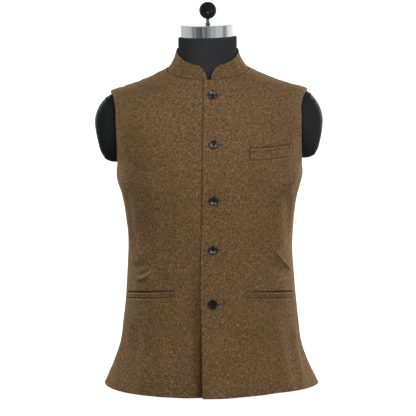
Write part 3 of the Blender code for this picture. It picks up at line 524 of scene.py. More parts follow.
def cloth_place(turn, height):
    """(round, up) in metres along the cloth: the two tables read bilinearly."""
    column = (turn - FLAT_TURNS[0]) / (FLAT_TURNS[1] - FLAT_TURNS[0])
    row = (height - FLAT_HEIGHTS[0]) / (FLAT_HEIGHTS[1] - FLAT_HEIGHTS[0])
    left = np.clip(np.floor(column).astype(int), 0, len(FLAT_TURNS) - 2)
    low = np.clip(np.floor(row).astype(int), 0, len(FLAT_HEIGHTS) - 2)
    across = column - left
    up = row - low
    places = []
    for table in (FLAT_ROUND, FLAT_UP):
        below = table[low, left] * (1 - across) + table[low, left + 1] * across
        above = table[low + 1, left] * (1 - across) + table[low + 1, left + 1] * across
        places.append(below * (1 - up) + above * up)
    return np.stack(places, axis=-1)


# A crease's line is cut into steps. Its turns are taken as lengths at this share of the
# body's half width, and points farther off than this many reaches are left alone.
CREASE_STEPS = 26
CREASE_LEVER = 0.86
CREASE_FAR = 4
CREASE_TAPER = 0.7
TROUGH_SHARE = 0.45
TROUGH_AWAY = 1.7
TROUGH_REACH = 1.3


def crease_rise(turn, height):
    """Sum over the creases of a ridge beside a softer trough.

    Each crease is a quadratic curve. With s the signed distance from it over
    its reach and t the part along it, the rise is
    rise * (4t(1-t))^0.7 * (exp(-s^2) - 0.45 exp(-((s - 1.7) / 1.3)^2)).
    """
    turn = wrapped(np.degrees(turn))
    part = np.linspace(0, 1, CREASE_STEPS)
    total = 0.0 * turn
    for crease in CREASES:
        start, middle, end = np.array(crease[:6]).reshape(3, 2)
        curve = (
            np.outer((1 - part) ** 2, start)
            + np.outer(2 * part * (1 - part), 2 * middle - (start + end) / 2)
            + np.outer(part**2, end)
        )
        width = float(section_at(curve[:, 1].mean()).half_width) * CREASE_LEVER
        scale = np.array([math.radians(1) * width, 1.0])
        line = curve * scale
        away_turn = wrapped(turn - start[0]) + start[0]
        away = np.stack([away_turn * scale[0], height], axis=-1)
        near = np.all(away > line.min(0) - CREASE_FAR * crease.reach, axis=-1)
        near &= np.all(away < line.max(0) + CREASE_FAR * crease.reach, axis=-1)
        if not near.any():
            continue
        gap = away[near][:, None, :] - line[None]
        distance = np.linalg.norm(gap, axis=-1)
        nearest = distance.argmin(axis=1)
        rows = np.arange(len(nearest))
        heading = np.gradient(line, axis=0)[nearest]
        offset = gap[rows, nearest]
        side = np.sign(heading[:, 0] * offset[:, 1] - heading[:, 1] * offset[:, 0])
        signed = side * distance[rows, nearest] / crease.reach
        along = part[nearest]
        taper = (4 * along * (1 - along)) ** CREASE_TAPER
        shape = bell(signed, 1.0) - TROUGH_SHARE * bell(signed - TROUGH_AWAY, TROUGH_REACH)
        total[near] += crease.rise * taper * shape
    return total


def wave_rise(place):
    """Sum over the waves of rise * sin(2 pi (round / across + up / up) + turned)."""
    total = 0.0 * place[..., 0]
    for wave in WAVES:
        phase = place[..., 0] / wave.across + place[..., 1] / wave.up
        total = total + wave.rise * np.sin(math.tau * phase + wave.turned)
    return total


BUTTON_PULL = 0.0007
BUTTON_PULL_REACH = 0.012
PULL_TROUGH = 0.0005
PULL_TROUGH_REACH = 0.005
PULL_TROUGH_STARTS = (0.000, 0.012)
PULL_TROUGH_ENDS = (0.016, 0.045)


def button_pull(place):
    """Each button draws the cloth in, a bell 12 mm wide, and a shallow trough runs
    from it towards the buttonhole's far end."""
    total = 0.0 * place[..., 0]
    for height, across in zip(np.array(BUTTON_HEIGHTS), BUTTON_ACROSS):
        away = place - cloth_place(turn_across(across, height), height)
        run = ramp(away[..., 0], *PULL_TROUGH_STARTS)
        run = run * (1 - ramp(away[..., 0], *PULL_TROUGH_ENDS))
        total = total - BUTTON_PULL * bell(np.linalg.norm(away, axis=-1), BUTTON_PULL_REACH)
        total = total - PULL_TROUGH * bell(away[..., 1], PULL_TROUGH_REACH) * run
    return total


def drape(turn, height):
    """How far the creases and the long waves move the cloth out."""
    place = cloth_place(turn, height)
    return crease_rise(turn, height) + wave_rise(place)


def welt_top(welt, part):
    """The height of a welt's top edge: inner + (outer - inner) p + 4 bow p (1 - p)."""
    straight_top = welt.inner_top + (welt.outer_top - welt.inner_top) * part
    return straight_top + 4 * welt.bow * part * (1 - part)


def welt_ends(welt):
    """The turns of the two ends of a welt's top edge, and its length on the cloth."""
    tops = np.array([welt.inner_top, welt.outer_top])
    turns = turn_across(welt.side * np.array([welt.inner, welt.outer]), tops)
    start, end = cloth_place(turns, tops)
    return turns, float(np.linalg.norm(end - start))


def lap_hollow(turn, height):
    """Beside the upper front's edge the lower one lies in a long hollow, deeper towards the
    hem and with painted shade that grows towards it: -(depth - slope * height) *
    exp(-(away / reach)^2). The edge itself has a thin line of painted shadow. Returns the
    rise and the painted shade."""
    across = body_point(turn, height)[..., 0]
    away = across - lap_edge(height) + LAP_HOLLOW_AWAY
    hollow = bell(np.minimum(away, 0.0), LAP_HOLLOW_REACH)
    hollow = hollow * (1 - ramp(height, *LAP_HOLLOW_FADES))
    line = bell(across - lap_edge(height), LAP_LINE_REACH)
    shade = np.maximum(LAP_HOLLOW_SHADE * hollow, LAP_LINE_SHADE * line)
    return -np.clip(LAP_HOLLOW_DEPTH - LAP_HOLLOW_SLOPE * height, 0.0, None) * hollow, shade


# A groove beside a welt: the distance from its middle, its reach, where along the welt it
# runs, how far it lifts the cloth and how dark its painted shade is.
Groove = namedtuple("Groove", "away reach where lift dark")
WELT_END_FADE = 0.003
WELT_FADING_TO = 0.6


def welt_grooves(welt, turn, height):
    """The welt's mouth, its foot seam, the ridge under that, and its two end seams."""
    (inner_turn, outer_turn), length = welt_ends(welt)
    part = (turn - inner_turn) / (outer_turn - inner_turn)
    run = part * length
    above = height - welt_top(welt, part)
    inside = 1 - ramp(run, length - WELT_END_FADE, length + WELT_END_FADE)
    inside = ramp(run, -WELT_END_FADE, 0.000) * inside
    inside = inside * (1 - welt.fading * (1 - ramp(part, 0.0, WELT_FADING_TO)))
    beside = ramp(above, -welt.depth - 0.001, -welt.depth + 0.001)
    beside = beside * (1 - ramp(above, 0.0, 0.002))
    return (
        Groove(above - 0.0011, 0.0020, inside, -welt.mouth, welt.dark_mouth),
        Groove(above + welt.depth + 0.0006, 0.0011, inside, -0.0009, welt.dark_foot),
        Groove(above + welt.depth + 0.0070, 0.0026, inside, 0.0013, 0.0),
        Groove(run + 0.0013, 0.0013, beside, -0.0007, welt.dark_inner),
        Groove(run - length - 0.0007, 0.0012, beside, -0.0007, welt.dark_outer),
    )


def pocket_rise(turn, height, side):
    """The sum over the grooves of a side's welts of lift * exp(-(away / reach)^2), and
    the greatest of their painted shades."""
    rise = 0.0 * turn
    shade = 0.0 * turn
    for welt in WELTS:
        if welt.side != side:
            continue
        for groove in welt_grooves(welt, turn, height):
            line = bell(groove.away, groove.reach) * groove.where
            rise = rise + groove.lift * line
            shade = np.maximum(shade, groove.dark * line)
    return rise, shade


# ---- cut edges
def by_cosine(turn, front, side, back):
    """front + (side - front)(1 - cos turn) before the sides, side - (back - side) cos
    turn behind them."""
    fore = np.cos(turn)
    return np.where(fore > 0, front + (side - front) * (1 - fore), side - (back - side) * fore)


def neck_height(turn):
    """The neck seam: low in front, higher at the side, highest behind."""
    return by_cosine(turn, NECK_FRONT_HEIGHT, NECK_SIDE_HEIGHT, NECK_BACK_HEIGHT)


def half_gap_turn(height):
    """Half of the seam gap, as a turn round the body at a height."""
    return SEAM_HALF_GAP / section_at(height).half_width


def lifted(heights, turns):
    """A panel's heights with its hem lifted: height + lift * (1 - height / underarm)^2."""
    table = np.array(HEM_LIFT)
    lift = np.interp(wrapped(np.degrees(turns)), table[:, 0], table[:, 1])
    return heights + lift * np.clip(1 - heights / UNDERARM_HEIGHT, 0.0, 1.0) ** 2


def armhole_edge(part, turn_reach, seam_turn):
    """Half an oval from the underarm (part 0) to the shoulder tip (part 1), which
    leans by seam_turn * part^3 to end on the shoulder seam."""
    angle = math.pi * (part - 0.5)
    middle = (UNDERARM_HEIGHT + SHOULDER_TIP_HEIGHT) / 2
    reach = (SHOULDER_TIP_HEIGHT - UNDERARM_HEIGHT) / 2
    away = turn_reach * np.cos(angle) + seam_turn * part**ARMHOLE_LEAN_POWER
    return away, middle + reach * np.sin(angle)


CROWD_STEPS = 6001


def crowded(count, *places):
    """count steps from 0 to 1 whose density is 1 + sum gain * exp(-(away / reach)^2)."""
    fine = np.linspace(0, 1, CROWD_STEPS)
    density = 1.0 + 0.0 * fine
    for finer in places:
        density += finer.gain * bell(fine - finer.place, finer.reach)
    total = np.concatenate([[0.0], np.cumsum((density[1:] + density[:-1]) / 2)])
    return np.interp(np.linspace(0, total[-1], count + 1), total, fine)


def outer_edge(rows, hole_turn, seam_turn, gap_way):
    """A panel's edge above the underarm: the armhole's half oval to the shoulder
    tip, and the shoulder seam from there up to the neck. Turns are at the left
    side of the body, and gap_way says on which side of the seams the panel lies."""
    chest_rows, shoulder_rows = rows
    away, hole_height = armhole_edge(np.linspace(0, 1, chest_rows + 1), hole_turn, seam_turn)
    top = neck_height(SHOULDER_TURN)
    up_seam = crowded(shoulder_rows, *NECK_ROWS)[1:]
    seam_height = SHOULDER_TIP_HEIGHT + (top - SHOULDER_TIP_HEIGHT) * up_seam
    turns = np.concatenate([SIDE_TURN + gap_way * away, SHOULDER_TURN + 0 * seam_height])
    heights = np.concatenate([hole_height, seam_height])
    return turns + gap_way * half_gap_turn(heights), heights


def climbing(edge_heights, neck):
    """Heights of rows above the underarm: level up to the shoulder tip, and from
    there tip + (neck seam - tip) * part, part being 1 on the last row."""
    level = np.minimum(edge_heights, SHOULDER_TIP_HEIGHT)
    part = np.clip(edge_heights - SHOULDER_TIP_HEIGHT, 0.0, None)
    part = part / part[-1]
    return level[:, None] + part[:, None] * (neck - SHOULDER_TIP_HEIGHT)


def panel_heights(turns, low, edge_heights):
    """A panel's heights: level rows up to the underarm, climbing ones above it, and the
    hem lifted."""
    upper = climbing(edge_heights, neck_height(turns[-1]))
    heights = np.concatenate([low[:, None] + 0 * upper[:1], upper[1:]])
    return lifted(heights, turns)


def front_grid(side, edge_across):
    """Turns and heights of a front, in rows that run evenly in turn from its centre
    edge to its side seam, armhole and shoulder seam."""
    low = HEM_HEIGHT + (UNDERARM_HEIGHT - HEM_HEIGHT) * crowded(FRONT_ROWS[0], *POCKET_ROWS)
    outer_turn, outer_height = outer_edge(
        FRONT_ROWS[1:], ARMHOLE_TURN, SIDE_TURN - SHOULDER_TURN, -1
    )
    centre_height = climbing(outer_height, np.array([NECK_FRONT_HEIGHT]))[:, 0]
    centre_height = np.concatenate([low, centre_height[1:]])
    seam_turn = SIDE_TURN - half_gap_turn(low)
    outer_turn = side * np.concatenate([seam_turn, outer_turn[1:]])
    centre_turn = turn_across(edge_across(centre_height), centre_height)
    columns = crowded(FRONT_COLUMNS, *EDGES)
    turns = centre_turn[:, None] * (1 - columns) + outer_turn[:, None] * columns
    return turns, panel_heights(turns, low, outer_height)


def back_grid():
    """Turns and heights of the back, from the left side seam round to the right."""
    low = HEM_HEIGHT + (UNDERARM_HEIGHT - HEM_HEIGHT) * crowded(BACK_ROWS[0], *HEM_ROWS)
    left_turn, left_height = outer_edge(
        BACK_ROWS[1:], ARMHOLE_BACK_TURN, SHOULDER_TURN - SIDE_TURN, 1
    )
    left_turn = np.concatenate([SIDE_TURN + half_gap_turn(low), left_turn[1:]])[:, None]
    columns = crowded(BACK_COLUMNS, *BACK_EDGES)
    turns = left_turn * (1 - columns) + (math.tau - left_turn) * columns
    return turns, panel_heights(turns, low, left_height)


# ---- mesh making
def make_mesh(name, points, faces, material, uv=None, shade=None):
    """A smooth object from an array of points and arrays of faces, with the cloth's
    own measure as its UV map and the painted shade as an attribute named seam."""
    mesh = bpy.data.meshes.new(name)
    corners = np.concatenate([block.ravel() for block in faces])
    sizes = np.concatenate([np.full(len(block), block.shape[1]) for block in faces])
    mesh.vertices.add(len(points))
    mesh.vertices.foreach_set("co", np.asarray(points, dtype=np.float32).ravel())
    mesh.loops.add(len(corners))
    mesh.loops.foreach_set("vertex_index", corners.astype(np.int32))
    mesh.polygons.add(len(sizes))
    starts = np.concatenate([[0], np.cumsum(sizes)[:-1]])
    mesh.polygons.foreach_set("loop_start", starts.astype(np.int32))
    mesh.update(calc_edges=True)
    mesh.validate()
    mesh.shade_smooth()
    if uv is not None:
        layer = mesh.uv_layers.new(name="cloth")
        layer.data.foreach_set("uv", np.asarray(uv, dtype=np.float32)[corners].ravel())
    if shade is not None:
        layer = mesh.attributes.new("seam", "FLOAT", "POINT")
        layer.data.foreach_set("value", np.asarray(shade, dtype=np.float32).ravel())
    made = bpy.data.objects.new(name, mesh)
    bpy.context.scene.collection.objects.link(made)
    made.data.materials.append(material)
    return made


def grid_faces(index, flip=False):
    """Quads between the points whose numbers stand in this grid."""
    quads = np.stack(
        [index[:-1, :-1], index[:-1, 1:], index[1:, 1:], index[1:, :-1]], axis=-1
    ).reshape(-1, 4)
    return quads[:, ::-1] if flip else quads


def grid_normals(points):
    """The cross product of the grid's central differences, one row against another."""
    normal = np.cross(np.gradient(points, axis=1), np.gradient(points, axis=0))
    return normal / np.maximum(np.linalg.norm(normal, axis=-1, keepdims=True), 1e-12)


def running_lengths(points):
    """How far each point of a grid is from the row's start and the column's foot."""
    across = np.linalg.norm(np.diff(points, axis=1), axis=-1)
    up = np.linalg.norm(np.diff(points, axis=0), axis=-1)
    return (
        np.pad(np.cumsum(across, axis=1), ((0, 0), (1, 0))),
        np.pad(np.cumsum(up, axis=0), ((1, 0), (0, 0))),
    )


def path_length(path):
    """How far along a path each of its points lies."""
    return np.concatenate([[0.0], np.cumsum(np.linalg.norm(np.diff(path, axis=0), axis=-1))])


def edge_distance(points):
    """The least of the running lengths from a grid's four edges."""
    across, up = running_lengths(points)
    return np.minimum.reduce([across, across[:, -1:] - across, up, up[-1:] - up])


def rolled(distance, roll):
    """sqrt(1 - (1 - d / roll)^2): the half thickness of a wall with a round edge."""
    return np.sqrt(1 - (1 - np.clip(distance / roll, 0, 1)) ** 2)


def shell(name, middle, half, material, uv, shade):
    """A wall: the middle grid moved both ways by half, with the rim's points, where
    half is nothing, shared by both faces. half points outwards."""
    rows, columns = middle.shape[:2]
    count = rows * columns
    top = np.arange(count).reshape(rows, columns)
    inner = np.zeros((rows, columns), dtype=bool)
    inner[1:-1, 1:-1] = True
    below = top.copy()
    below[inner] = count + np.arange(inner.sum())
    half = np.where(inner[..., None], half, 0.0)
    points = np.concatenate([(middle + half).reshape(-1, 3), (middle - half)[inner]])
    uv = np.concatenate([uv.reshape(-1, 2), uv[inner]])
    shade = np.concatenate([shade.ravel(), shade[inner]])
    facing = np.sum(grid_normals(middle)[1:-1, 1:-1] * half[1:-1, 1:-1])
    faces = [grid_faces(top, flip=facing < 0), grid_faces(below, flip=facing > 0)]
    return make_mesh(name, points, faces, material, uv, shade)


OUTWARDS = (1.0, 1.0, 0.35)


def cloth_shell(name, outer, thickness, roll, material, uv, shade):
    """A wall of even thickness under a grid of outer points, with rolled edges. Its
    outer side is the one that faces away from the axis and, by less, from the floor."""
    normal = grid_normals(outer)
    if np.sum(normal * outer * OUTWARDS) < 0:
        normal = -normal
    middle = outer - normal * thickness / 2
    half = normal * thickness / 2 * rolled(edge_distance(outer), roll)[..., None]
    return shell(name, middle, half, material, uv, shade)


def ring_index(rows, columns):
    """The numbers of a grid's points, each row closed by its own first point."""
    index = np.arange(rows * columns).reshape(rows, columns)
    return np.concatenate([index, index[:, :1]], axis=1)


def ring_faces(points, index, poles, flip=False):
    """Quads between rings of point numbers and a fan to a pole at either end. Returns
    the points with the two poles added, and the faces."""
    faces = [grid_faces(index, flip)]
    for ring, pole, turned_over in zip(index[[0, -1]], poles, (flip, not flip)):
        hub = np.full(len(ring) - 1, len(points))
        fan = np.stack([hub, ring[1:], ring[:-1]], axis=-1)
        faces.append(fan[:, ::-1] if turned_over else fan)
        points = np.concatenate([points, np.asarray(pole, dtype=float)[None]])
    return points, faces


def closed_round(name, rings, material, poles):
    """Rings of points joined into one skin, each end closed to its pole. rings is a
    grid whose rows run once round."""
    index = ring_index(*rings.shape[:2])
    return make_mesh(name, *ring_faces(rings.reshape(-1, 3), index, poles), material)


def turned(name, profile, material, place, steps):
    """A profile of (radius, height) carried round Z: x = r cos a, y = r sin a. Its
    first and last points lie on the axis."""
    profile = np.asarray(profile, dtype=float)
    angle = np.linspace(0, math.tau, steps, endpoint=False)
    radius, height = profile[1:-1].T[..., None]
    rings = np.stack(
        [radius * np.cos(angle), radius * np.sin(angle), height + 0 * angle], axis=-1
    )
    poles = [(0.0, 0.0, profile[end, 1]) for end in (0, -1)]
    made = closed_round(name, rings, material, poles)
    made.data.transform(place)
    return made


def arc(centre, radius, start, end, steps):
    """Points of a circular arc in a turned profile, angles in degrees."""
    angle = np.radians(np.linspace(start, end, steps + 1))
    return [
        (centre[0] + radius * math.cos(a), centre[1] + radius * math.sin(a)) for a in angle
    ]


def straight(start, end, steps):
    """Points of a straight run in a turned profile, without its first one."""
    return [
        (start[0] + (end[0] - start[0]) * n / steps, start[1] + (end[1] - start[1]) * n / steps)
        for n in range(1, steps + 1)
    ]


def tube_block(path, radius, up, sides, closed=False):
    """Points and faces of a tube: round each path point lies a ring
    r (cos a * side + sin a * up), side being heading x up."""
    heading = np.gradient(path, axis=0)
    if closed:
        heading = np.roll(path, -1, axis=0) - np.roll(path, 1, axis=0)
    side = unit(np.cross(heading, up))
    over = unit(np.cross(side, heading))
    angle = np.linspace(0, math.tau, sides, endpoint=False)[None, :, None]
    ring = side[:, None] * np.cos(angle) + over[:, None] * np.sin(angle)
    points = path[:, None] + ring * np.broadcast_to(radius, len(path))[:, None, None]
    points = points.reshape(-1, 3)
    index = ring_index(len(path), sides)
    if closed:
        return points, [grid_faces(np.concatenate([index, index[:1]]), flip=True)]
    return ring_faces(points, index, (path[0], path[-1]), flip=True)


def joined(name, blocks, material):
    """One object from several blocks of points and faces."""
    points = []
    quads = []
    triangles = []
    first = 0
    for block_points, block_faces in blocks:
        for faces in block_faces:
            (quads if faces.shape[1] == 4 else triangles).append(faces + first)
        points.append(block_points)
        first += len(block_points)
    faces = [np.concatenate(part) for part in (quads, triangles) if part]
    return make_mesh(name, np.concatenate(points), faces, material)


# ---- finishes
def wire(tree, socket, value):
    """Give a socket this value, or a link from this other socket."""
    if isinstance(value, bpy.types.NodeSocket):
        tree.links.new(value, socket)
    else:
        socket.default_value = value


def add_node(tree, kind, settings=None, **inputs):
    """A shader node with its properties set and its sockets given values or links. _0
    stands for the first socket."""
    made = tree.nodes.new("ShaderNode" + kind)
    for key, value in (settings or {}).items():
        setattr(made, key, value)
    for key, value in inputs.items():
        place = int(key[1:]) if key[0] == "_" else key.replace("_", " ")
        wire(tree, made.inputs[place], value)
    return made


def new_finish(name, colour, roughness, **sockets):
    """A Principled finish, the tree that holds it and its shader."""
    material = bpy.data.materials.new(name)
    material.use_nodes = True
    shader = material.node_tree.nodes["Principled BSDF"]
    shader.inputs["Base Color"].default_value = (*colour, 1.0)
    shader.inputs["Roughness"].default_value = roughness
    for key, value in sockets.items():
        shader.inputs[key.replace("_", " ")].default_value = value
    return material, material.node_tree, shader


def ramp_node(tree, factor, stops):
    """A colour ramp of (position, colour) stops."""
    made = add_node(tree, "ValToRGB", _0=factor)
    elements = made.color_ramp.elements
    while len(elements) < len(stops):
        elements.new(0.5)
    for element, (position, colour) in zip(elements, stops):
        element.position = position
        element.color = (*colour, 1.0)
    return made.outputs["Color"]


def mixed(tree, way, share, first, second):
    """A colour mix by this way of blending."""
    settings = {"data_type": "RGBA", "blend_type": way}
    return add_node(tree, "Mix", settings, _0=share, _6=first, _7=second).outputs[2]


def maths(tree, operation, first, second=0.0):
    """One Math node."""
    return add_node(tree, "Math", {"operation": operation}, _0=first, _1=second).outputs[0]


def weighted(tree, parts):
    """The sum of signal * share."""
    total = 0.0
    for signal, share in parts:
        total = maths(tree, "ADD", total, maths(tree, "MULTIPLY", signal, share))
    return total


def object_place(tree):
    """The object's own coordinates."""
    return add_node(tree, "TexCoord").outputs["Object"]


def scaled(tree, place, scales):
    """Coordinates multiplied by these scales along X, Y and Z."""
    return add_node(tree, "VectorMath", {"operation": "MULTIPLY"}, _0=place, _1=scales).outputs[0]


def noise(tree, place, scale, detail, **sockets):
    """Noise at these coordinates."""
    made = add_node(tree, "TexNoise", Vector=place, Scale=scale, Detail=detail, **sockets)
    return made.outputs[0]


def attribute(tree, name):
    """A mesh attribute's value."""
    return add_node(tree, "Attribute", {"attribute_name": name}).outputs["Fac"]


def bumped(tree, shader, height, strength, distance):
    """Set the shader's normal to a bump."""
    made = add_node(tree, "Bump", Strength=strength, Distance=distance, Height=height)
    wire(tree, shader.inputs["Normal"], made.outputs[0])


def roughened(tree, shader, value, start, end, **limits):
    """Set the shader's roughness from start to end, as the value goes over its limits."""
    made = add_node(tree, "MapRange", Value=value, To_Min=start, To_Max=end, **limits)
    wire(tree, shader.inputs["Roughness"], made.outputs[0])


# The colour the tweed is mixed towards by its painted shade, and how far at most.
WOOL_IN_PAINTED_SHADE = (0.024, 0.010, 0.003)
PAINTED_SHADE_STRENGTH = 0.92
TWILL_STEPS = 4.0
YARN_APART = 5.17
YARN_RUN = 0.21
MIDDLE_TONE = 0.390
WOOL_TONES = (
    (0.28, (0.0330, 0.0160, 0.0062)),
    (0.42, (0.0738, 0.0400, 0.0155)),
    (0.51, (0.1148, 0.0665, 0.0290)),
    (0.62, (0.1800, 0.1160, 0.0575)),
    (0.78, (0.3250, 0.2350, 0.1460)),
)
WOOL_HUES = (
    (0.34, (1.03, 0.985, 0.94)),
    (0.50, (1.00, 1.00, 1.00)),
    (0.66, (0.97, 1.015, 1.06)),
)
WOOL_CLOUDS = ((0.30, (0.90, 0.90, 0.90)), (0.70, (1.08, 1.08, 1.08)))


def make_tweed():
    """Brown heathered wool. Warp and weft yarns of uneven tone cross in a 2/2 twill:
    with column number i and row number j of the yarns, the warp lies on top where
    (i + j) mod 4 < 2. Flecks, soft clouds of tone and a hairy nap lie over it."""
    material, tree, shader = new_finish(
        "brown_tweed",
        (0.12, 0.075, 0.035),
        0.95,
        Sheen_Weight=0.10,
        Sheen_Roughness=0.35,
        Sheen_Tint=(0.85, 0.50, 0.25, 1.0),
        Specular_IOR_Level=0.12,
    )
    place = object_place(tree)
    measure = add_node(tree, "UVMap", {"uv_map": "cloth"}).outputs[0]
    parts = add_node(tree, "SeparateXYZ", Vector=measure).outputs
    weft_way = maths(tree, "MULTIPLY", parts[0], YARNS_PER_METRE)
    warp_way = maths(tree, "MULTIPLY", parts[1], YARNS_PER_METRE)
    column = maths(tree, "FLOOR", weft_way)
    row = maths(tree, "FLOOR", warp_way)
    turn = maths(tree, "FLOORED_MODULO", maths(tree, "ADD", column, row), TWILL_STEPS)
    warp_on_top = maths(tree, "LESS_THAN", turn, 1.5)

    def uneven(source, scales, detail=2.0):
        """Noise of these frequencies along X, Y and Z."""
        return noise(tree, scaled(tree, source, scales), 1.0, detail, Roughness=0.6)

    def yarn_tone(number, along, apart):
        """Noise that is random from yarn to yarn and runs on along each."""
        across = maths(tree, "MULTIPLY", number, YARN_APART)
        along = maths(tree, "MULTIPLY", along, YARN_RUN)
        vector = add_node(tree, "CombineXYZ", X=across, Y=along, Z=apart).outputs[0]
        return noise(tree, vector, 1.0, 2.0)

    def yarn_round(way):
        """1 - (2 * fraction - 1)^2 across one yarn."""
        doubled = maths(tree, "MULTIPLY", maths(tree, "FRACT", way), 2.0)
        middle = maths(tree, "SUBTRACT", doubled, 1.0)
        return maths(tree, "SUBTRACT", 1.0, maths(tree, "MULTIPLY", middle, middle))

    def either(on_warp, on_weft):
        """The warp's value where it lies on top, and the weft's elsewhere."""
        step = maths(tree, "SUBTRACT", on_warp, on_weft)
        return maths(tree, "ADD", on_weft, maths(tree, "MULTIPLY", step, warp_on_top))

    yarn = either(yarn_tone(column, warp_way, 0.0), yarn_tone(row, weft_way, 9.0))
    roundness = either(yarn_round(weft_way), yarn_round(warp_way))
    fleck = uneven(place, (430.0, 430.0, 430.0), 1.5)
    warp_slub = uneven(measure, (430.0, 120.0, 1.0))
    weft_slub = uneven(measure, (110.0, 430.0, 1.0))
    cloud = uneven(place, (13.0, 13.0, 13.0), 3.0)
    hue = uneven(place, (90.0, 90.0, 90.0))
    nap = uneven(place, (1500.0, 1500.0, 1500.0))
    # The yarns' roundness also darkens the tone between them: painted shade in the grooves of the
    # weave, next to its bump.
    shares = (
        (yarn, 0.50),
        (fleck, 0.45),
        (warp_slub, 0.36),
        (weft_slub, 0.26),
        (nap, 0.12),
        (roundness, 0.07),
    )
    tone = maths(tree, "SUBTRACT", weighted(tree, shares), MIDDLE_TONE)
    wool = ramp_node(tree, tone, WOOL_TONES)
    wool = mixed(tree, "MULTIPLY", 1.0, wool, ramp_node(tree, hue, WOOL_HUES))
    wool = mixed(tree, "MULTIPLY", 1.0, wool, ramp_node(tree, cloud, WOOL_CLOUDS))
    # Painted shade: the seam attribute mixes the wool towards a near-black brown, standing in for
    # shadow at the pocket mouths, the lap edge, the collar seam and over the collar.
    darkness = maths(tree, "MULTIPLY", attribute(tree, "seam"), PAINTED_SHADE_STRENGTH)
    wool = mixed(tree, "MIX", darkness, wool, (*WOOL_IN_PAINTED_SHADE, 1.0))
    wire(tree, shader.inputs["Base Color"], wool)
    height = weighted(tree, ((roundness, 0.45), (nap, 0.55), (fleck, 0.45)))
    bumped(tree, shader, height, 0.45, 0.0004)
    return material


def make_jersey(name, colour, sheen):
    """Black stretch jersey drawn tight over a firm form: fine ribs and faint lint."""
    material, tree, shader = new_finish(
        name,
        colour,
        0.80,
        Sheen_Weight=sheen,
        Sheen_Roughness=0.3,
        Sheen_Tint=(0.80, 0.84, 0.88, 1.0),
        Specular_IOR_Level=0.12,
    )
    place = object_place(tree)
    lint = noise(tree, place, 26.0, 4.0)
    stops = [
        (at, tuple(share * part for part in colour)) for at, share in ((0.30, 0.88), (0.72, 1.14))
    ]
    wire(tree, shader.inputs["Base Color"], ramp_node(tree, lint, stops))
    settings = {"wave_type": "BANDS", "bands_direction": "X"}
    ribs = add_node(
        tree, "TexWave", settings, Vector=place, Scale=330.0, Distortion=0.8, Detail=2.0
    )
    bumped(tree, shader, ribs.outputs["Fac"], 0.12, 0.0002)
    return material


def make_button_finish():
    """Blue-black horn substitute with faint grey-blue streaks. Where the seam attribute is
    high, at the centre and the rim, the colour is painted shade, near black, and the finish more
    polished."""
    material, tree, shader = new_finish(
        "blue_black_button", (0.006, 0.008, 0.012), 0.44, Specular_IOR_Level=0.62
    )
    streak = noise(tree, scaled(tree, object_place(tree), (90.0, 260.0, 420.0)), 1.0, 3.0)
    stops = (
        (0.35, (0.002, 0.003, 0.005)),
        (0.62, (0.005, 0.007, 0.011)),
        (0.80, (0.018, 0.023, 0.032)),
    )
    painted_shade_and_polish = attribute(tree, "seam")
    streaks = ramp_node(tree, streak, stops)
    # Painted shade: the colour goes near black at the centre and the rim.
    colour = mixed(tree, "MIX", painted_shade_and_polish, streaks, (0.002, 0.002, 0.003, 1.0))
    wire(tree, shader.inputs["Base Color"], colour)
    roughened(tree, shader, painted_shade_and_polish, 0.42, 0.24)
    return material


def make_thread_finish(name, dark, light):
    """Twisted thread, its colour darker in the twist's grooves as painted shade and lighter on
    the strands.
    """
    material, tree, shader = new_finish(name, dark, 0.7, Specular_IOR_Level=0.12)
    settings = {"bands_direction": "DIAGONAL"}
    twist = add_node(tree, "TexWave", settings, Vector=object_place(tree), Scale=900.0)
    twist = twist.outputs["Fac"]
    wire(tree, shader.inputs["Base Color"], ramp_node(tree, twist, ((0.0, dark), (1.0, light))))
    bumped(tree, shader, twist, 0.4, 0.0002)
    return material


def make_chrome():
    """Polished chrome with faint handling smudges."""
    material, tree, shader = new_finish("polished_chrome", (0.86, 0.87, 0.88), 0.06, Metallic=1.0)
    place = object_place(tree)
    smudge = noise(tree, place, 60.0, 4.0)
    roughened(tree, shader, smudge, 0.04, 0.16, From_Min=0.4, From_Max=0.8)
    bumped(tree, shader, noise(tree, place, 22.0, 1.0), 0.35, 0.0012)
    return material


def make_steel():
    """Satin steel with fine turned lines round it."""
    material, tree, shader = new_finish("satin_steel", (0.36, 0.36, 0.37), 0.40, Metallic=1.0)
    lines = noise(tree, scaled(tree, object_place(tree), (40.0, 40.0, 2600.0)), 1.0, 2.0)
    stops = ((0.35, (0.30, 0.30, 0.31)), (0.65, (0.42, 0.42, 0.43)))
    wire(tree, shader.inputs["Base Color"], ramp_node(tree, lines, stops))
    bumped(tree, shader, lines, 0.2, 0.0002)
    return material


def make_black_gloss():
    """Gloss-black lacquer with a trace of dust in its roughness."""
    material, tree, shader = new_finish(
        "gloss_black_lacquer", (0.013, 0.013, 0.014), 0.10, Specular_IOR_Level=0.18
    )
    dust = noise(tree, object_place(tree), 180.0, 3.0)
    roughened(tree, shader, dust, 0.07, 0.14, From_Min=0.45, From_Max=0.8)
    return material


TWEED = make_tweed()
NECK_JERSEY = make_jersey("black_jersey", (0.0205, 0.0210, 0.0225), 0.10)
CAP_JERSEY = make_jersey("black_jersey_caps", (0.0085, 0.0091, 0.0095), 0.13)
BUTTON_FINISH = make_button_finish()
THREAD = make_thread_finish("dark_brown_thread", (0.030, 0.016, 0.007), (0.075, 0.045, 0.020))
BUTTON_THREAD = make_thread_finish("black_thread", (0.004, 0.004, 0.004), (0.012, 0.012, 0.013))
CHROME = make_chrome()
STEEL = make_steel()
BLACK_GLOSS = make_black_gloss()


# ---- the garment
NECK_FADE = 0.014
PUCKER_DIP = 0.00030
PUCKER_GATHER = 0.00020
PUCKER_EVERY = 0.013
PUCKER_REACH = 0.005


